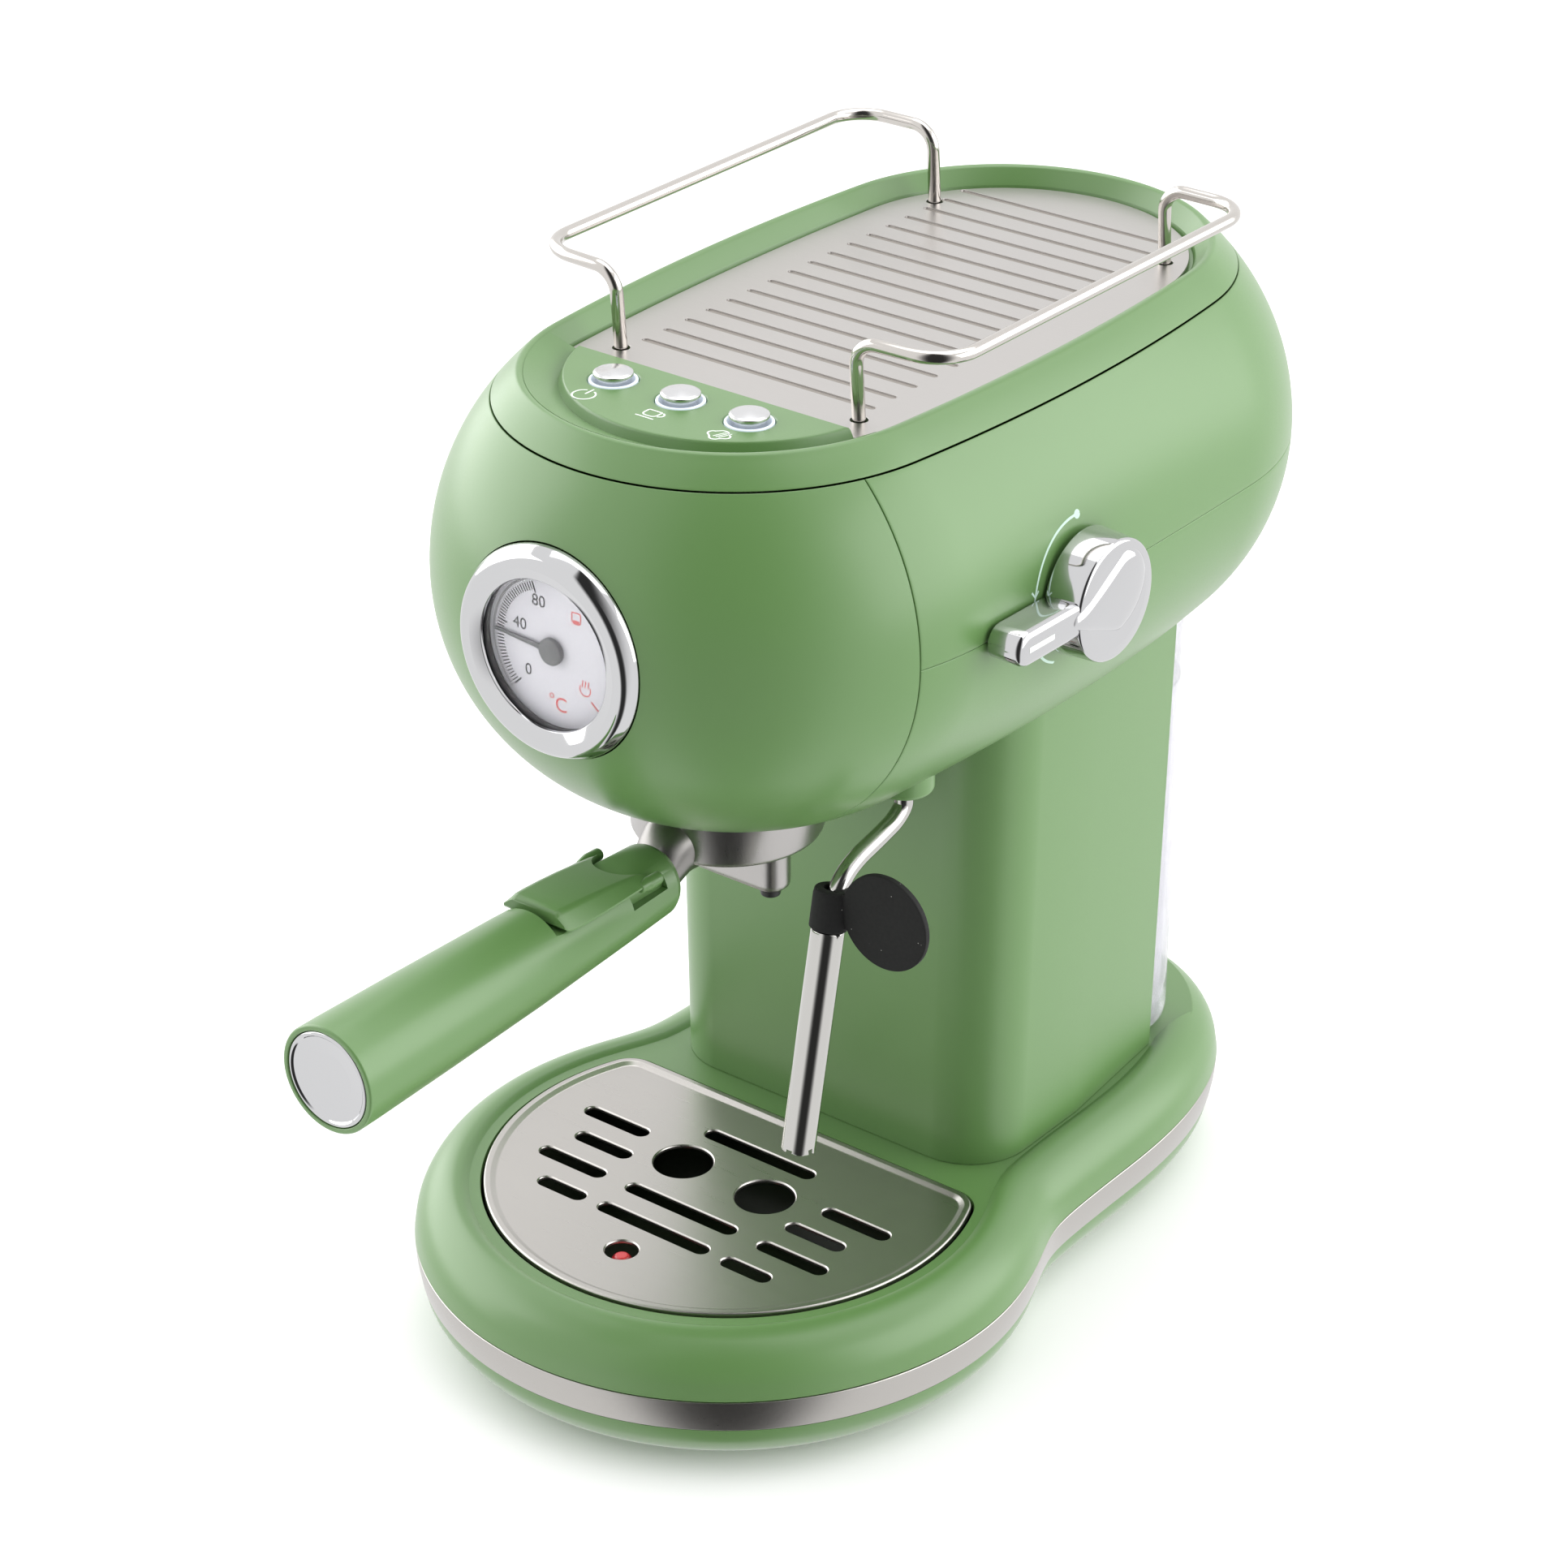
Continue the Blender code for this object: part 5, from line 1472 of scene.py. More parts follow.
@dataclass
class ControlPanel:
    """The raised crescent with three lit push buttons and their signs."""

    radius: float = 52.7
    centre_y: float = 7.3
    back: float = -6.1
    top_z: float = 321.6
    pitch: float = 25.4
    button_y: float = -20.5
    button: float = 6.1
    light: float = 7.4

    def ring(self, inset: float, z: float, count: int = 90) -> Ring:
        """The panel's plan at one inset."""
        radius = self.radius - inset
        back = self.back - max(inset, 0.0)
        start = math.asin(min((self.centre_y - back) / radius, 1.0))
        ring: Ring = []
        for i in range(count + 1):
            a = math.pi + start + (math.pi - 2 * start) * i / count
            ring.append((radius * math.cos(a),
                         self.centre_y + radius * math.sin(a), z))
        return ring

    def build(self, head: Head) -> None:
        """Builds and dresses the panel, buttons, light rings and signs.

        Args:
            head: The head, whose rim slopes down to the panel.
        """
        top = self.top_z
        rings = [self.ring(inset, z) for inset, z in (
            (-1.8, 316.75), (-1.5, 317.1), (-0.4, top - 2.0), (0.1, top - 0.8),
            (0.4, top - 0.25), (0.9, top))]
        names = ("power", "cup", "steam")
        spots = [(self.pitch * (i - 1), self.button_y, 0.0) for i in range(3)]
        cutters = [turned("hole", spot, Axis.Z,
                          [(self.light + 0.3, 310.0), (self.light + 0.3, top - 0.35),
                           (self.light + 0.75, top + 0.1), (self.light + 0.75, top + 3)])
                   for spot in spots]
        publish(carve(loft("panel_body", rings), cutters), Paint.GREEN,
                stands_for=["control_panel"])
        for name, spot in zip(names, spots):
            self.build_button(name, spot)
        self.build_signs(spots)
        self.build_apron(head)

    def build_apron(self, head: Head) -> None:
        """Builds the rim's inward slope, down to the panel's front edge."""
        start, end, count = 192, 348, 72
        far = arc((0, head.front + head.round_off), head.oval(61.2)[0], start, end, count)
        near = arc((0, self.centre_y), self.radius + 0.7, start, end, count)
        rings = [[(*rim, 323.4), (*foot, 318.2), (*foot, 316.7), (*rim, 316.7)]
                 for rim, foot in zip(far, near)]
        publish(loft("rim_slope", rings), Paint.GREEN)

    def build_button(self, name: str, spot: Point) -> None:
        """Builds one button in its light ring."""
        top = self.top_z
        ring = turned("light_" + name, spot, Axis.Z,
                      [(self.light, 317.0), (self.light, top + 0.25, 0.5),
                       (self.button + 0.35, top + 0.25, 0.3), (self.button + 0.35, 317.0)],
                      True)
        publish(ring, Paint.LIGHT, stands_for=["light_ring_" + name])
        cap = turned("cap_" + name, spot, Axis.Z,
                     [(0.01, 309.0), (3.6, 309.0), (3.6, top - 2.5), (5.3, top - 2.4),
                      (5.4, top + 1.2), (self.button - 0.1, top + 1.4, 0.3),
                      (self.button - 0.1, top + 2.4, 0.35), (5.2, top + 2.75, 0.3),
                      (0.01, top + 3.45)], crease_deg=25.0)
        publish(cap, Paint.BUTTON, "button_" + name, ["button_" + name])

    def build_signs(self, spots: Sequence[Point]) -> None:
        """Prints the on, cup and steam signs beside the buttons."""
        top = self.top_z

        def print_at(i: int, dx: float, dy: float) -> Surface:
            """Places a sign beside a button."""
            x, y = spots[i][0] + dx, spots[i][1] + dy
            return lambda u, v, h: (x + u, y + v, top + 0.02 + h)

        power = print_at(0, 0.8, -14.3)
        cup = print_at(1, 0.0, -13.2)
        steam = print_at(2, -0.6, -13.8)
        width = 0.55
        lines = [stroke("line", arc((0, 0), 3.5, 112, 428, 40), width, power),
                 stroke("line", [(0.0, 0.6), (0.0, 4.6)], width, power),
                 stroke("line", fillet([(-2.6, 2.3, 0.4), (2.2, 2.3, 0.4), (2.2, -1.7, 1.6),
                                     (-2.6, -1.7, 1.6)], True, 4), width, cup, closed=True),
                 stroke("line", arc((2.4, 0.6), 1.5, -80, 80, 12), width, cup),
                 stroke("line", [(-3.6, -3.0), (3.0, -3.0)], width, cup),
                 stroke("line", self.cloud(), width, steam, closed=True)]
        for x in (-0.9, 0.1, 1.1):
            lines.append(stroke("line", [(x, -1.0), (x + 1.6, 3.2)], width * 0.7, steam))
        publish(fused("panel_signs", lines), Paint.WHITE_INK)

    def cloud(self) -> Outline:
        """The outline of the steam sign's cloud."""
        path: Outline = []
        for (x, y), r, a, b in (((-2.2, 0.6), 1.5, 100, 250), ((0.0, -1.2), 1.7, 200, 340),
                                ((2.3, 0.6), 1.5, -70, 80)):
            path += arc((x, y), r, a, b, 12)
        path += arc((0.1, 1.6), 2.2, 50, 130, 8)[1:-1]
        return path


# --------------------------------------------------------------------- gauge


@dataclass
class Gauge:
    """The thermometer in the front cover."""

    z: float = 263.5
    face: float = -85.4
    radius: float = 33.0
    dial: float = 6.1
    needle_deg: float = 176.0
    zero_deg: float = 225.0
    degree_step: float = 1.4375

    def on_dial(self, u: float, v: float, h: float) -> Point:
        """A point of the dial, seen from the front, h above its face."""
        return (u, self.face + self.dial - h, self.z + v)

    def build(self) -> None:
        """Builds and dresses the bezel, dial, print, needle and lens."""
        dial = self.dial
        rings = [
            ("gauge_rim", Paint.CHROME, ["gauge_bezel"], 160,
             [(self.radius, 10.5), (self.radius, 4.4, 3.6), (30.6, 0.0, 3.0),
              (27.0, 0.2, 0.8), (23.6, 1.5, 0.3), (23.3, 2.2), (26.2, 2.2), (26.6, 10.5)]),
            ("gauge_wall", Paint.BLACK, [], 128,
             [(23.4, 2.9), (24.0, dial - 0.02), (25.4, dial - 0.02), (25.4, 2.9)]),
            ("gauge_body", Paint.GREY, ["gauge_case"], 96,
             [(26.4, 7.4), (26.4, 30.6), (12.0, 32.6), (12.0, 8.8), (24.0, 8.8),
              (24.0, 7.4)]),
            ("dial_plate", Paint.DIAL, ["gauge_dial"], 128,
             [(25.4, dial), (25.4, dial + 1.1), (1.9, dial + 1.1), (1.9, dial)]),
        ]
        for name, paint, nodes, count, corners in rings:
            piece = turned(name, (0.0, self.face, self.z), Axis.Y, corners, True, count)
            publish(piece, paint, stands_for=nodes)
        lens = turned("gauge_lens", (0.0, self.face, self.z), Axis.Y,
                      [(0.01, 2.25), (24.6, 2.25), (24.6, 2.85), (0.01, 2.85)])
        publish(lens, Paint.GLASS, stands_for=["gauge_glass"])
        self.build_print()
        self.build_needle()

    def ticks(self, count: int, step: float, inner: float, width: float,
              outer: float = 21.2) -> bpy.types.Object:
        """A row of scale marks, from zero upwards."""
        mark = stroke("ticks", [(inner, 0.0), (outer, 0.0)], width, self.on_dial)
        angle = math.radians(-self.zero_deg)
        centre = DATUM.place(self.on_dial(0, 0, 0))
        for vertex in mark.data.vertices:
            offset = vertex.co - centre
            x = offset.x * math.cos(angle) + offset.z * math.sin(angle)
            z = -offset.x * math.sin(angle) + offset.z * math.cos(angle)
            vertex.co = centre + Vector((x, offset.y, z))
        return repeated(mark, count, turn=(0, step, 0),
                        pivot=self.on_dial(0, 0, 0), paint=Paint.INK)

    def build_print(self) -> None:
        """Prints the scale, its numbers and the red signs."""
        step = self.degree_step
        rows = [self.ticks(41, 2 * step, 18.7, 0.34), self.ticks(3, 40 * step, 17.7, 0.5),
                self.ticks(100, step, 22.0, 0.2, 22.8)]
        for text, u, v in (("0", -9.6, -8.9), ("40", -12.4, 5.1), ("80", -5.0, 14.2)):
            rows.append(label(text, u, v, 5.2, self.on_dial))
        publish(fused("dial_scale", rows), Paint.INK)
        red = [label("C", 2.6, -16.9, 6.6, self.on_dial),
               stroke("line", arc((-0.9, -14.6), 0.7, 0, 360, 16), 0.3, self.on_dial)]
        cup = self.sign(self.dial_spot(54.0, 15.6))
        sides = fillet([(-1.7, 1.9, 0.3), (1.5, 1.9, 0.3), (1.5, -1.6, 1.0),
                        (-1.7, -1.6, 1.0)], True, 4)
        red += [stroke("line", sides, 0.35, cup, closed=True),
                stroke("line", [(-1.2, -0.9), (1.0, -0.9)], 0.8, cup)]
        steam = self.sign(self.dial_spot(-36.0, 14.6))
        red += [stroke("line", arc((0, -0.4), 2.0, 150, 390, 20), 0.35, steam)]
        red += [stroke("line", [(x, 0.2), (x + 0.3, 2.4)], 0.35, steam) for x in (-1.1, 0, 1.1)]
        red.append(stroke("line", [self.dial_spot(-41.0, 18.6), self.dial_spot(-41.0, 22.0)],
                          0.5, self.on_dial))
        publish(fused("dial_signs", red), Paint.RED_INK)

    def dial_spot(self, angle: float, radius: float) -> tuple[float, float]:
        """A place on the dial from an angle in degrees and a radius."""
        a = math.radians(angle)
        return radius * math.cos(a), radius * math.sin(a)

    def sign(self, spot: tuple[float, float]) -> Surface:
        """Places a small sign on the dial."""
        return lambda u, v, h: self.on_dial(spot[0] + u, spot[1] + v, h)

    def build_needle(self) -> None:
        """Builds the needle with its hub."""
        plane = self.face + self.dial
        hub = turned("hub", (0, 0, self.z), Axis.Y,
                     [(0.01, plane + 0.7), (1.4, plane + 0.7), (1.4, plane - 0.3),
                      (4.2, plane - 0.35, 0.2), (4.2, plane - 1.8, 0.5),
                      (0.01, plane - 2.1)])
        a = math.radians(self.needle_deg)
        way = Vector((math.cos(a), math.sin(a)))
        side = Vector((-way.y, way.x))
        plan = [way * -3.0 + side * 1.0, way * 21.2 + side * 0.42,
                way * 21.2 - side * 0.42, way * -3.0 - side * 1.0]
        rings = [[(p.x, y, self.z + p.y) for p in plan] for y in (plane - 1.0, plane - 0.5)]
        needle = fused("dial_needle", [hub, loft("pointer", rings)])
        publish(needle, Paint.GREY, "needle", ["gauge_needle"])


def label(text: str, u: float, v: float, size: float,
          place: Surface) -> bpy.types.Object:
    """Prints a number or a single letter, centred on a place.

    Args:
        text: What is printed.
        u: Its centre, to the right.
        v: Its centre, upwards.
        size: The font's size in millimetres.
        place: Gives the point at (right, up, height above the face).

    Returns:
        The print, as a mesh.
    """
    curve = bpy.data.curves.new("label", "FONT")
    curve.body = text
    curve.size = size
    curve.align_x = "CENTER"
    curve.align_y = "CENTER"
    curve.extrude = 0.05
    holder = put("label", curve)
    mesh = evaluated(holder)
    bpy.data.objects.remove(holder, do_unlink=True)
    for vertex in mesh.vertices:
        x, y, z = vertex.co
        vertex.co = DATUM.place(place(u + x, v + y, z))
    return finish_mesh("label", mesh)


# ------------------------------------------------------------ steam and wand


@dataclass
class SteamLever:
    """The chrome lever on the side, with the printed arc round it."""

    y: float = 51.5
    z: float = 261.2
    back: float = 93.5
    face: float = 106.2
    radius: float = 19.3
    reach: float = 48.0
    half: float = 5.6
    egg: float = 12.5
    lean: float = 0.02
    arc_radius: float = 23.4
    arc_deg: tuple[float, float] = (88.0, 250.0)
    arrow_deg: float = 166.0

    def build(self, head: Head) -> None:
        """Builds and dresses the lever and the arc.

        Args:
            head: The head, whose side carries the arc.
        """
        spot = (0.0, self.y, self.z)
        drum = turned("drum", spot, Axis.X,
                      [(0.01, 84.0), (3.3, 84.0), (3.3, self.back + 0.2),
                       (self.radius + 0.7, self.back, 0.4),
                       (self.radius - 0.2, self.face - 0.3, 1.3),
                       (15.0, self.face + 0.1, 1.0), (0.01, self.face + 0.2)], count=128)
        lever = fused("lever_knob", [drum, self.blade(), self.crown()])
        publish(lever, Paint.CHROME, "knob", ["steam_knob"])
        bar = [(self.y - 43.0, 0.0), (self.y - 31.0, 0.0)]
        mark = stroke("lever_mark", bar, 1.7, self.on_blade, 0.1)
        publish(mark, Paint.WHITE_INK, "knob")

        def on_side(u: float, v: float, h: float) -> Point:
            """A point on the head's side, h above it."""
            z = self.z + v
            half = head.reach(head.profile(head.angle(z))[0], self.y + u)
            return (half + h, self.y + u, z)

        curve = arc((0, 0), self.arc_radius, *self.arc_deg, 60)
        tip_y, tip_z = arc((0, 0), self.arc_radius, self.arrow_deg, self.arrow_deg, 1)[0]
        arrow = [(tip_y - 1.6, tip_z + 1.9), (tip_y, tip_z - 0.2), (tip_y + 1.6, tip_z + 1.5)]
        lines = [stroke("line", path, width, on_side, 0.05) for path, width in (
            (curve, 0.8), (arc(curve[0], 0.7, 0, 360, 20), 1.4), (arrow, 0.7))]
        publish(fused("lever_arc", lines), Paint.PALE_INK)

    def on_blade(self, u: float, v: float, h: float) -> Point:
        """A point of the lever's flat front face, h above it."""
        return (self.face - 0.35 + h - self.lean * (self.y - u), u, self.z + v)

    def blade(self) -> bpy.types.Object:
        """The lever, a deep bar of even width with a round end."""
        tip = self.y - self.reach + self.half
        rings = []
        for x, inset in ((self.back + 0.4, 0.8), (self.back + 1.0, 0.2),
                         (self.face - 2.6, 0.0), (self.face - 1.4, 0.3),
                         (self.face - 0.6, 1.1), (self.face - 0.35, 2.2)):
            half = self.half - inset
            plan = arc((tip, 0.0), half, 90, 270, 24)
            plan += [(self.y - 8.0, -half), (self.y - 8.0, half)]
            rings.append([(x - self.lean * (self.y - y), y, self.z + z) for y, z in plan])
        return loft("blade", rings)

    def crown(self) -> bpy.types.Object:
        """The egg-shaped swelling of the face that runs out into the lever."""
        rings = []
        for share, rise in ((1.0, -0.5), (0.97, 0.1), (0.9, 0.75), (0.78, 1.2),
                            (0.6, 1.5), (0.35, 1.68), (0.1, 1.7)):
            ring: Ring = []
            for i in range(72):
                a = 2 * math.pi * i / 72
                tail = max(-math.cos(a), 0.0)
                long = self.egg * (1 + 0.85 * tail ** 1.5)
                wide = self.egg * (1 - 0.42 * tail ** 1.2)
                y = self.y + 1.5 + share * long * math.cos(a)
                lift = 2.4 * (1 + math.cos(a))
                ring.append((self.face + rise - self.lean * (self.y - y), y,
                             self.z + lift + share * wide * math.sin(a)))
            rings.append(ring)
        return loft("crown", rings, crease_deg=60.0)


@dataclass
class SteamWand:
    """The boss, the bent tube, the rubber grip and the frothing sleeve."""

    x: float = 60.0
    tube: float = 3.0
    elbow: Point = (60.0, -24.2, 185.3)
    tip: Point = (60.0, -41.9, 98.5)

    def build(self, head: Head) -> None:
        """Builds and dresses the wand.

        Args:
            head: The head that the boss hangs from; not used.
        """
        boss = turned("boss_body", (self.x, 9.8, 0), Axis.Z,
                      [(3.6, 201.3), (8.6, 201.3, 1.0), (9.2, 202.6, 0.8),
                       (9.4, 214.0), (3.6, 214.0)], True)
        publish(boss, Paint.GREEN, stands_for=["wand_boss"])
        elbow = Vector(self.elbow)
        down = (Vector(self.tip) - elbow).normalized()
        # the tube's S bend, down from the boss and forward to the straight part
        bend = [(9.8, 212.0), (9.8, 199.0), (9.0, 195.2), (5.0, 192.2), (-0.5, 190.5),
                (-6.5, 189.0), (-13.0, 187.4), (-18.3, 185.0), (-22.4, 181.2),
                (-25.3, 176.4), (-27.4, 170.2)]
        path = [Vector((self.x, y, z)) for y, z in flowing(bend, 6)]
        path.append(elbow + down * 82)
        tube = sweep("wand_tube", path, [self.tube] * len(path))
        publish(tube, Paint.STEEL_TUBE, "wand", ["steam_tube"])
        self.build_grip(elbow, down)
        self.build_sleeve(elbow, down)

    def bar(self, name: str, start: Vector, end: Vector,
            corners: Corners) -> bpy.types.Object:
        """A lathe piece whose axis runs from start towards end.

        Args:
            name: The object's name.
            start: The zero of the distances.
            end: A point on the axis.
            corners: (radius, distance[, corner radius]), a closed outline.

        Returns:
            The object.
        """
        aim = (end - start).normalized()
        side = aim.orthogonal().normalized()
        up = aim.cross(side)
        rings = [circle(start + aim * along, side, up, radius, 64)
                 for radius, along in fillet(corners, True)]
        return loft(name, rings, True)

    def build_grip(self, elbow: Vector, down: Vector) -> None:
        """Builds the rubber collar with its round tab."""
        collar = self.bar("collar", elbow, elbow + down,
                          [(3.1, 3.0), (5.6, 3.0, 0.8), (5.95, 5.0), (5.95, 15.8, 0.6),
                           (3.1, 15.8)])
        tab = turned("tab", (self.x + 20.6, 0.0, 178.4), Axis.Y,
                     [(0.01, -27.6), (15.4, -27.6, 0.5), (15.4, -25.4, 0.5),
                      (0.01, -25.4)])
        web = []
        for x, low, high in ((2.0, 170.6, 183.2), (5.0, 171.6, 182.6), (9.0, 171.4, 184.4),
                             (14.0, 168.0, 188.0)):
            web.append([(self.x + x, y, z) for y, z in
                        ((-27.5, low), (-25.5, low), (-25.5, high), (-27.5, high))])
        grip = fused("grip_body", [collar, tab, loft("web", web)])
        publish(grip, Paint.RUBBER, "wand", ["wand_grip"])

    def build_sleeve(self, elbow: Vector, down: Vector) -> None:
        """Builds the steel frothing sleeve with its notched end."""
        sleeve = self.bar("sleeve_body", elbow, elbow + down,
                          [(3.3, 16.2), (5.0, 16.2, 0.3), (5.2, 16.8), (5.2, 87.6, 0.3),
                           (5.0, 88.0), (4.5, 88.0), (4.4, 17.4), (3.3, 17.2)])
        nick = elbow + down * 88.0
        cutters = []
        for dx, dy in ((-1, 0), (1, 0), (0, 1), (0, -1)):
            x, y = nick.x + dx * 4.6, nick.y + dy * 4.6
            cutters.append(block("nick", (x - 1.3, y - 1.3, nick.z - 3),
                                 (x + 1.3, y + 1.3, nick.z + 2.2)))
        publish(carve(sleeve, cutters), Paint.STEEL_TUBE, "sleeve", ["frother_sleeve"])


# ----------------------------------------------------------- group and holder


@dataclass
class Portafilter:
    """The brewing group's visible lip and the filter holder with its handle."""

    ring: float = 30.1
    low: float = 173.0
    high: float = 190.0
    neck_y: float = -36.5
    end_y: float = -180.4
    neck_z: float = 170.4
    end_z: float = 168.4
    clip_top: float = 179.0

    def build(self) -> None:
        """Builds and dresses the group, holder, spout, handle and clip."""
        origin = (0.0, 0.0, 0.0)
        group = turned("group_casting", origin, Axis.Z,
                       [(33.0, 191.0, 0.5), (33.2, 194.3), (34.3, 194.6), (34.3, 212.0),
                        (18.0, 212.0), (18.0, 200.6), (32.6, 200.6), (32.6, 194.9),
                        (29.2, 194.9), (29.2, 191.0)], True, 128)
        publish(group, Paint.CAST, stands_for=["group_head"])
        body = turned("holder_body", origin, Axis.Z,
                      [(4.0, 176.6), (4.0, self.low + 0.4), (24.0, self.low + 0.2, 2.0),
                       (29.4, self.low + 0.9, 1.6), (self.ring, self.low + 2.6),
                       (self.ring, self.high - 0.2, 0.5), (28.7, self.high + 0.2, 0.3),
                       (28.7, 196.1), (27.2, 196.1), (27.2, 177.2)], True, 160)
        publish(body, Paint.CAST, "portafilter", ["portafilter_body"])
        neck = [Vector(p) for p in ((0, -26.0, 178.0), (0, -28.5, 177.2), (0, -31.0, 175.6),
                                    (0, -33.5, 173.6), (0, -36.5, 171.6),
                                    (0, -47.0, self.neck_z))]
        stub = sweep("holder_neck", neck, [10.4, 9.9, 9.2, 8.6, 8.1, 5.9], 48)
        publish(stub, Paint.NECK, "portafilter")
        self.build_spout()
        self.build_handle()
        self.build_clip()

    def build_spout(self) -> None:
        """Builds the twin spout and its rubber tips."""
        rings = []
        for shrink, z in ((2.2, 157.6), (0.8, 157.85), (0.2, 158.6), (0.0, 160.0),
                          (0.0, 168.0), (-0.6, 171.0), (-1.4, 172.9)):
            rings.append(pill(0.0, 0.0, 17.0, 6.0 - shrink, z, 16))
        publish(loft("spout_casting", rings), Paint.CAST, "portafilter", ["spout_block"])
        for side in Side:
            name = side.name.lower()
            tip = turned("outlet_" + name, (side.value * 16.7, 0, 0), Axis.Z,
                         [(1.5, 154.3), (3.1, 154.3, 0.6), (3.5, 157.9), (1.5, 157.9)],
                         True, 48)
            publish(tip, Paint.BLACK, "portafilter", ["spout_tip_" + name])

    def section(self, y: float, radius: float, count: int = 96) -> Ring:
        """One round section of the handle."""
        t = (y - self.neck_y) / (self.end_y - self.neck_y)
        z = self.neck_z + (self.end_z - self.neck_z) * t
        ring: Ring = []
        for i in range(count):
            a = 2 * math.pi * i / count
            ring.append((radius * math.cos(a), y, z + radius * math.sin(a)))
        return ring

    def build_handle(self) -> None:
        """Builds the tapered handle and its chrome end cap."""
        sections = fillet([(-51.0, 6.3), (-36.6, 7.6), (-36.4, 8.2), (-36.2, 10.8, 0.8),
                           (-38.5, 11.9, 1.6), (-60.0, 13.0, 30.0), (-100.0, 14.8, 30.0),
                           (-140.0, 16.0, 30.0), (-172.0, 16.8, 20.0), (-180.3, 16.9, 0.8),
                           (-180.3, 15.1, 0.4), (-176.8, 15.0)])
        handle = loft("handle_grip", [self.section(y, r) for y, r in sections])
        top = self.clip_top
        ramp = [(-93.4, top + 0.4), (-91.0, top), (-62.0, top), (-46.5, top + 5.2),
                (-46.5, top + 12.0), (-93.4, top + 12.0)]
        cutters = [loft("flat", [[(x, y, z) for y, z in ramp] for x in (-15.0, 15.0)])]
        for side in Side:
            x = side.value * 12.4
            cutters.append(block("ears", (x - 2.9, -60.2, top - 5.4), (x + 2.9, -43.5, top + 12)))
        publish(carve(handle, cutters), Paint.GREEN, "portafilter",
                ["portafilter_handle"])
        cap = turned("handle_cap", (0, 0, self.end_z), Axis.Y,
                     [(0.01, -177.2), (14.6, -177.2), (14.9, -180.0, 0.4),
                      (13.9, -180.4, 0.5), (13.2, -179.7, 0.6), (8.0, -178.9, 5.0),
                      (0.01, -178.4)], count=128)
        publish(cap, Paint.CHROME, "portafilter", ["handle_end_cap"])
        pin = turned("clip_axle", (0, -50, top - 2.2), Axis.X,
                     [(0.01, -9.4), (1.3, -9.4, 0.3), (1.3, 9.4, 0.3), (0.01, 9.4)],
                     count=32)
        publish(pin, Paint.STEEL, "portafilter", ["clip_pin"])

    def build_clip(self) -> None:
        """Builds the thumb clip that holds the filter."""
        top = self.clip_top
        rings = []
        for y, low, high, half in ((-50.0, 0.4, 1.6, 12.7), (-51.0, 0.4, 2.4, 12.7),
                                   (-54.0, 0.4, 3.1, 12.75), (-62.0, 0.4, 4.2, 13.0),
                                   (-70.0, 0.4, 5.1, 13.2), (-78.0, 0.4, 5.8, 13.2),
                                   (-85.0, 0.4, 6.3, 13.0), (-88.6, 0.5, 6.5, 12.7),
                                   (-90.2, 1.0, 6.2, 12.3), (-91.0, 2.0, 5.2, 11.8)):
            z0, z1 = top + low, top + high
            curve = fillet([(-half, z0), (half, z0, 0.2), (half, z0 + 0.7, 0.3),
                            (half * 0.7, z1, 3.0), (-half * 0.7, z1, 3.0),
                            (-half, z0 + 0.7, 0.3), (-half, z0, 0.2)], steps=3)
            rings.append([(x, y, z) for x, z in curve])
        mouth = turned("mouth", (0, -50.5, 0), Axis.Z, [(9.3, top - 8), (9.3, top + 12)])
        pieces = [carve(loft("lever", rings), [mouth])]
        for side in Side:
            x = side.value * 11.7
            pieces.append(turned("ear", (x, 0, top + 0.4), Axis.Y,
                                 [(0.01, -57.0), (1.5, -56.6, 0.6), (2.2, -53.0, 2.0),
                                  (2.0, -47.6, 1.2), (0.01, -46.4)], count=32))
        publish(fused("clip_lever", pieces), Paint.GREEN, "clip", ["filter_clip"])


# ------------------------------------------------------------------ insides

HIDDEN = {
    Paint.STEEL: ("inner_frame", "shower_screen", "shower_screw", "filter_basket"),
    Paint.CAST: ("boiler",), Paint.BRASS: ("steam_valve",),
    Paint.BLACK: ("pump", "cord_gland"), Paint.RUBBER: ("group_gasket",),
    Paint.GREY: ("tank_valve",), Paint.BOARD: ("control_board",),
}


def dress_hidden() -> None:
    """Gives the CAD nodes that stay their procedural finishes."""
    for paint, names in HIDDEN.items():
        for name in names:
            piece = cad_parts[name]
            if not piece.material_slots:
                piece.data.materials.append(MATERIALS[paint])
            for place in piece.material_slots:
                place.material = MATERIALS[paint]
            LOG.info("%s keeps its shape in %s", name, paint.value.name)


# ------------------------------------------------------------------- studio


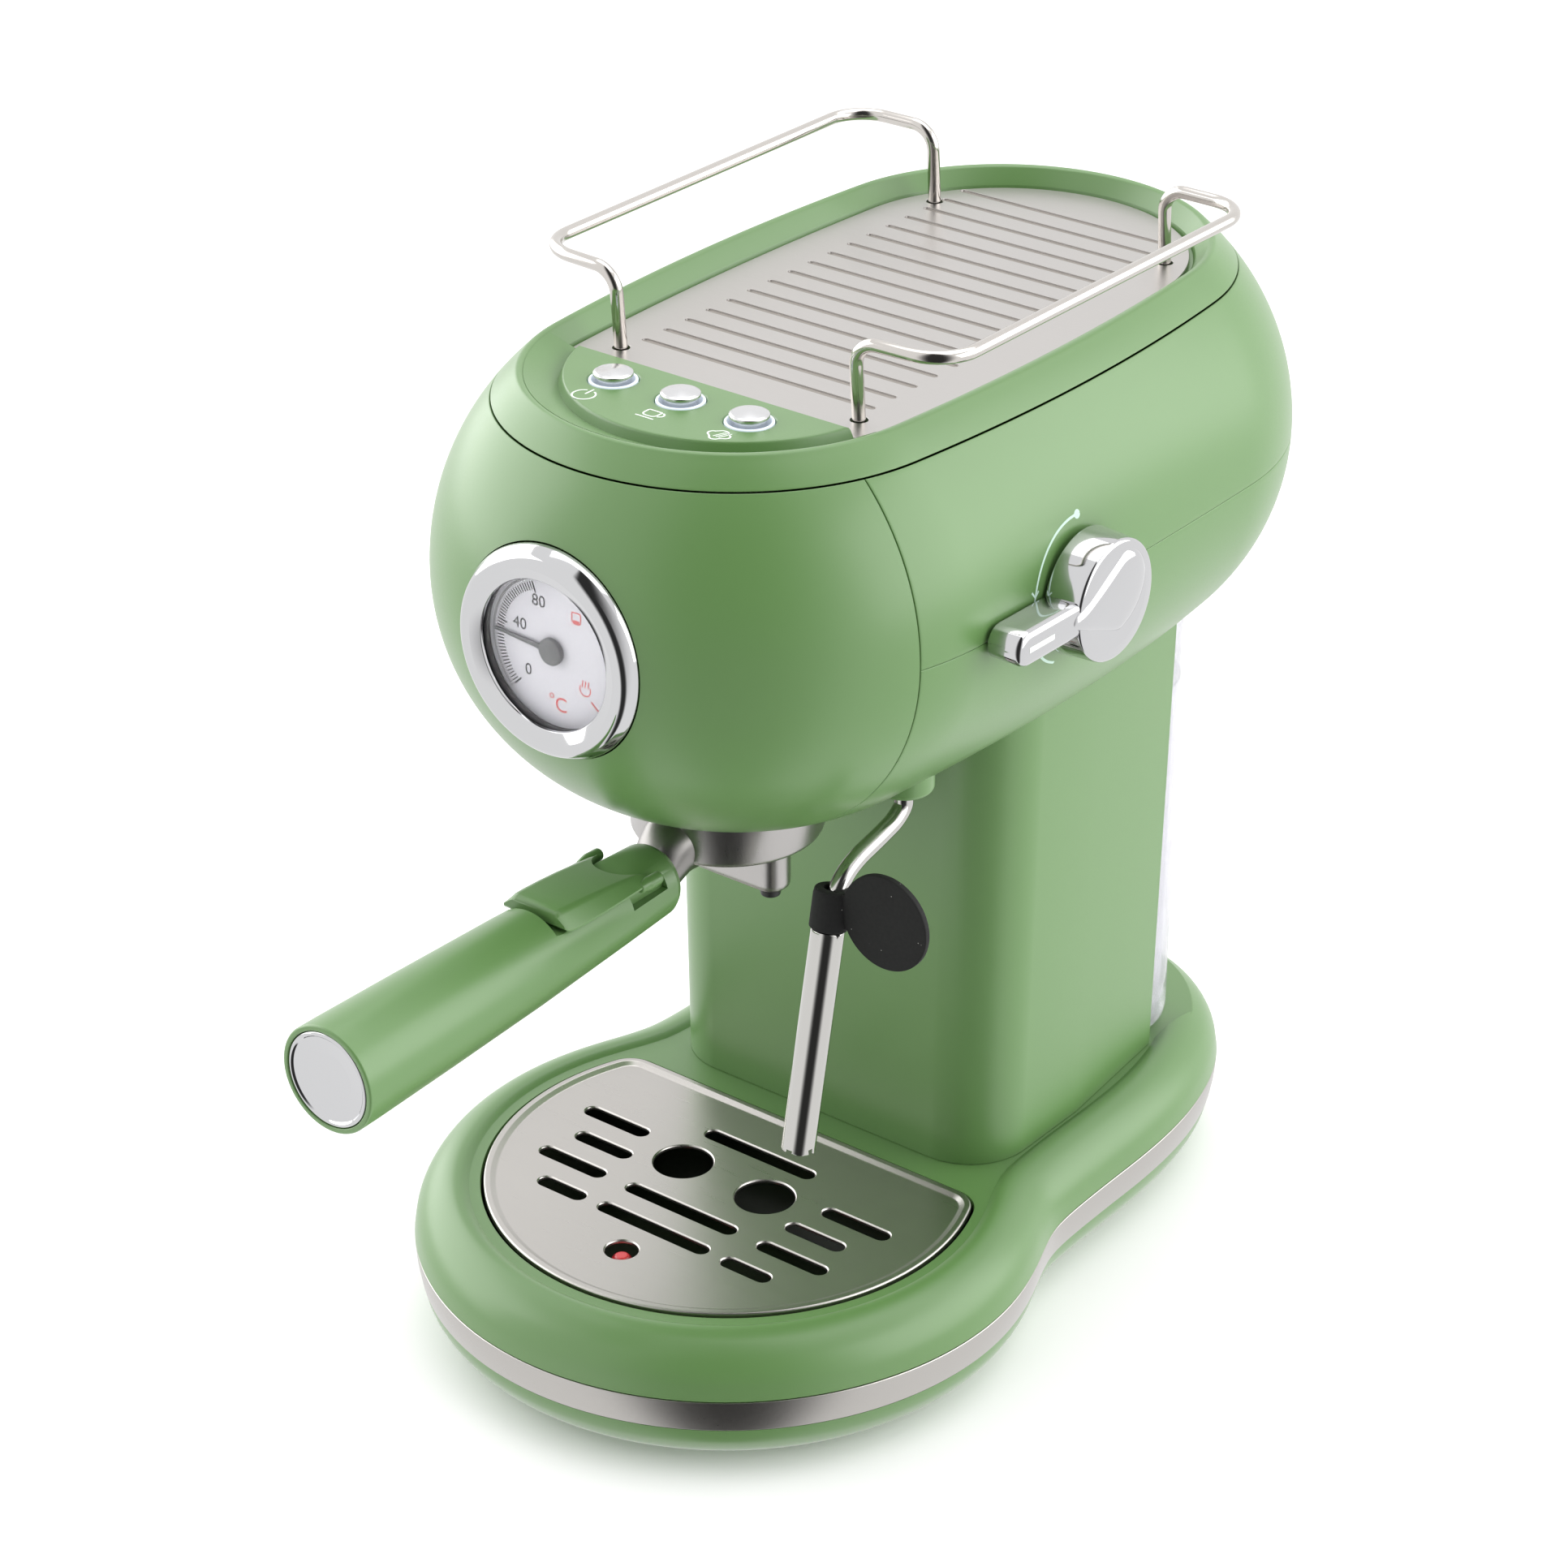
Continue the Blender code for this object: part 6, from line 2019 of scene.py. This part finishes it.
@dataclass
class Studio:
    """Pale floor, soft lights and the camera."""

    eye: Point = (739.6, -919.2, 812.2)
    pitch_deg: float = 27.91
    heading_deg: float = 37.98
    lens: float = 99.77
    sensor: float = 36.0
    floor_half: float = 40.0
    floor_glow: float = 0.14
    world_dim: float = 0.04
    world_pale: float = 1.12
    gap_core_deg: float = 14.0
    gap_edge_deg: float = 44.0
    lamps: tuple[tuple[str, Point, float, float, float], ...] = (
        ("left", (-1.9, -0.3, 0.9), 2.8, 1.9, 36.0),
        ("right", (1.8, 1.0, 0.9), 2.8, 1.9, 36.0),
        ("top", (0.0, 0.6, 2.2), 2.4, 1.8, 18.0),
    )
    lamp_aim: Point = (0.0, 0.0, 0.2)

    def build(self) -> None:
        """Builds the floor, world, lights and camera."""
        self.build_floor()
        self.build_world()
        self.build_lights()
        eye = put("camera", bpy.data.cameras.new("camera"))
        eye.location = DATUM.place(self.eye)
        eye.rotation_euler = (math.radians(90 - self.pitch_deg), 0,
                              math.radians(self.heading_deg))
        eye.data.lens = self.lens
        eye.data.sensor_width = self.sensor
        bpy.context.scene.camera = eye
        settings = bpy.context.scene.view_settings
        settings.view_transform = "Standard"
        settings.look = "None"

    def build_floor(self) -> None:
        """Lays a wide pale floor at the feet, which glows a little."""
        mesh = bpy.data.meshes.new("floor")
        size = self.floor_half
        # just under the feet, so that the two don't share a plane
        z = DATUM.z - 0.0002
        mesh.from_pydata([(-size, -size, z), (size, -size, z), (size, size, z),
                          (-size, size, z)], [], [(0, 1, 2, 3)])
        floor = put("floor", mesh)
        white = Finish("floor_white", (0.90, 0.90, 0.90), 0.85, mottle=0.0, spread=0.0,
                       glow=self.floor_glow)
        floor.data.materials.append(white.build())
        floor.visible_glossy = False

    def build_world(self) -> None:
        """Sets a pale world with a dark gap behind the camera, as between two screens."""
        world = bpy.data.worlds.new("studio")
        bpy.context.scene.world = world
        world.use_nodes = True
        kit = Nodes(world.node_tree)
        ground = world.node_tree.nodes["Background"]
        where = kit.add("ShaderNodeTexCoord").outputs["Generated"]
        level = kit.add("ShaderNodeVectorMath", operation="MULTIPLY")
        level.inputs[1].default_value = (1.0, 1.0, 0.0)
        unit = kit.add("ShaderNodeVectorMath", operation="NORMALIZE")
        aim = kit.add("ShaderNodeVectorMath", operation="DOT_PRODUCT")
        turn = math.radians(self.heading_deg)
        aim.inputs[1].default_value = (math.sin(turn), -math.cos(turn), 0.0)
        kit.link(where, level.inputs[0])
        kit.link(level.outputs[0], unit.inputs[0])
        kit.link(unit.outputs[0], aim.inputs[0])
        ramp = kit.add("ShaderNodeMapRange", interpolation_type="SMOOTHSTEP")
        ramp.inputs["From Min"].default_value = math.cos(math.radians(self.gap_edge_deg))
        ramp.inputs["From Max"].default_value = math.cos(math.radians(self.gap_core_deg))
        ramp.inputs["To Min"].default_value = self.world_pale
        ramp.inputs["To Max"].default_value = self.world_dim
        kit.link(aim.outputs["Value"], ramp.inputs["Value"])
        kit.link(ramp.outputs["Result"], ground.inputs["Strength"])
        ground.inputs["Color"].default_value = (1.0, 1.0, 1.0, 1.0)

    def build_lights(self) -> None:
        """Hangs the soft lights: name, place in metres, width, height and watts."""
        aim = Vector(self.lamp_aim)
        for name, spot, wide, high, watts in self.lamps:
            lamp = bpy.data.lights.new(name, "AREA")
            lamp.energy = watts
            lamp.shape = "RECTANGLE"
            lamp.size = wide
            lamp.size_y = high
            holder = put(name, lamp)
            holder.location = spot
            holder.rotation_euler = (aim - Vector(spot)).to_track_quat("-Z", "Y").to_euler()


def main() -> None:
    """Builds every piece in turn and finishes the frame."""
    logging.basicConfig(level=logging.INFO, format="%(message)s")
    head = Head()
    grille = Grille()
    head.build()
    Base().build(grille)
    grille.build()
    Column().build()
    WarmingPlate().build(head)
    ControlPanel().build(head)
    Gauge().build()
    SteamLever().build(head)
    SteamWand().build(head)
    Portafilter().build()
    dress_hidden()
    Studio().build()


if __name__ == "__main__":
    main()
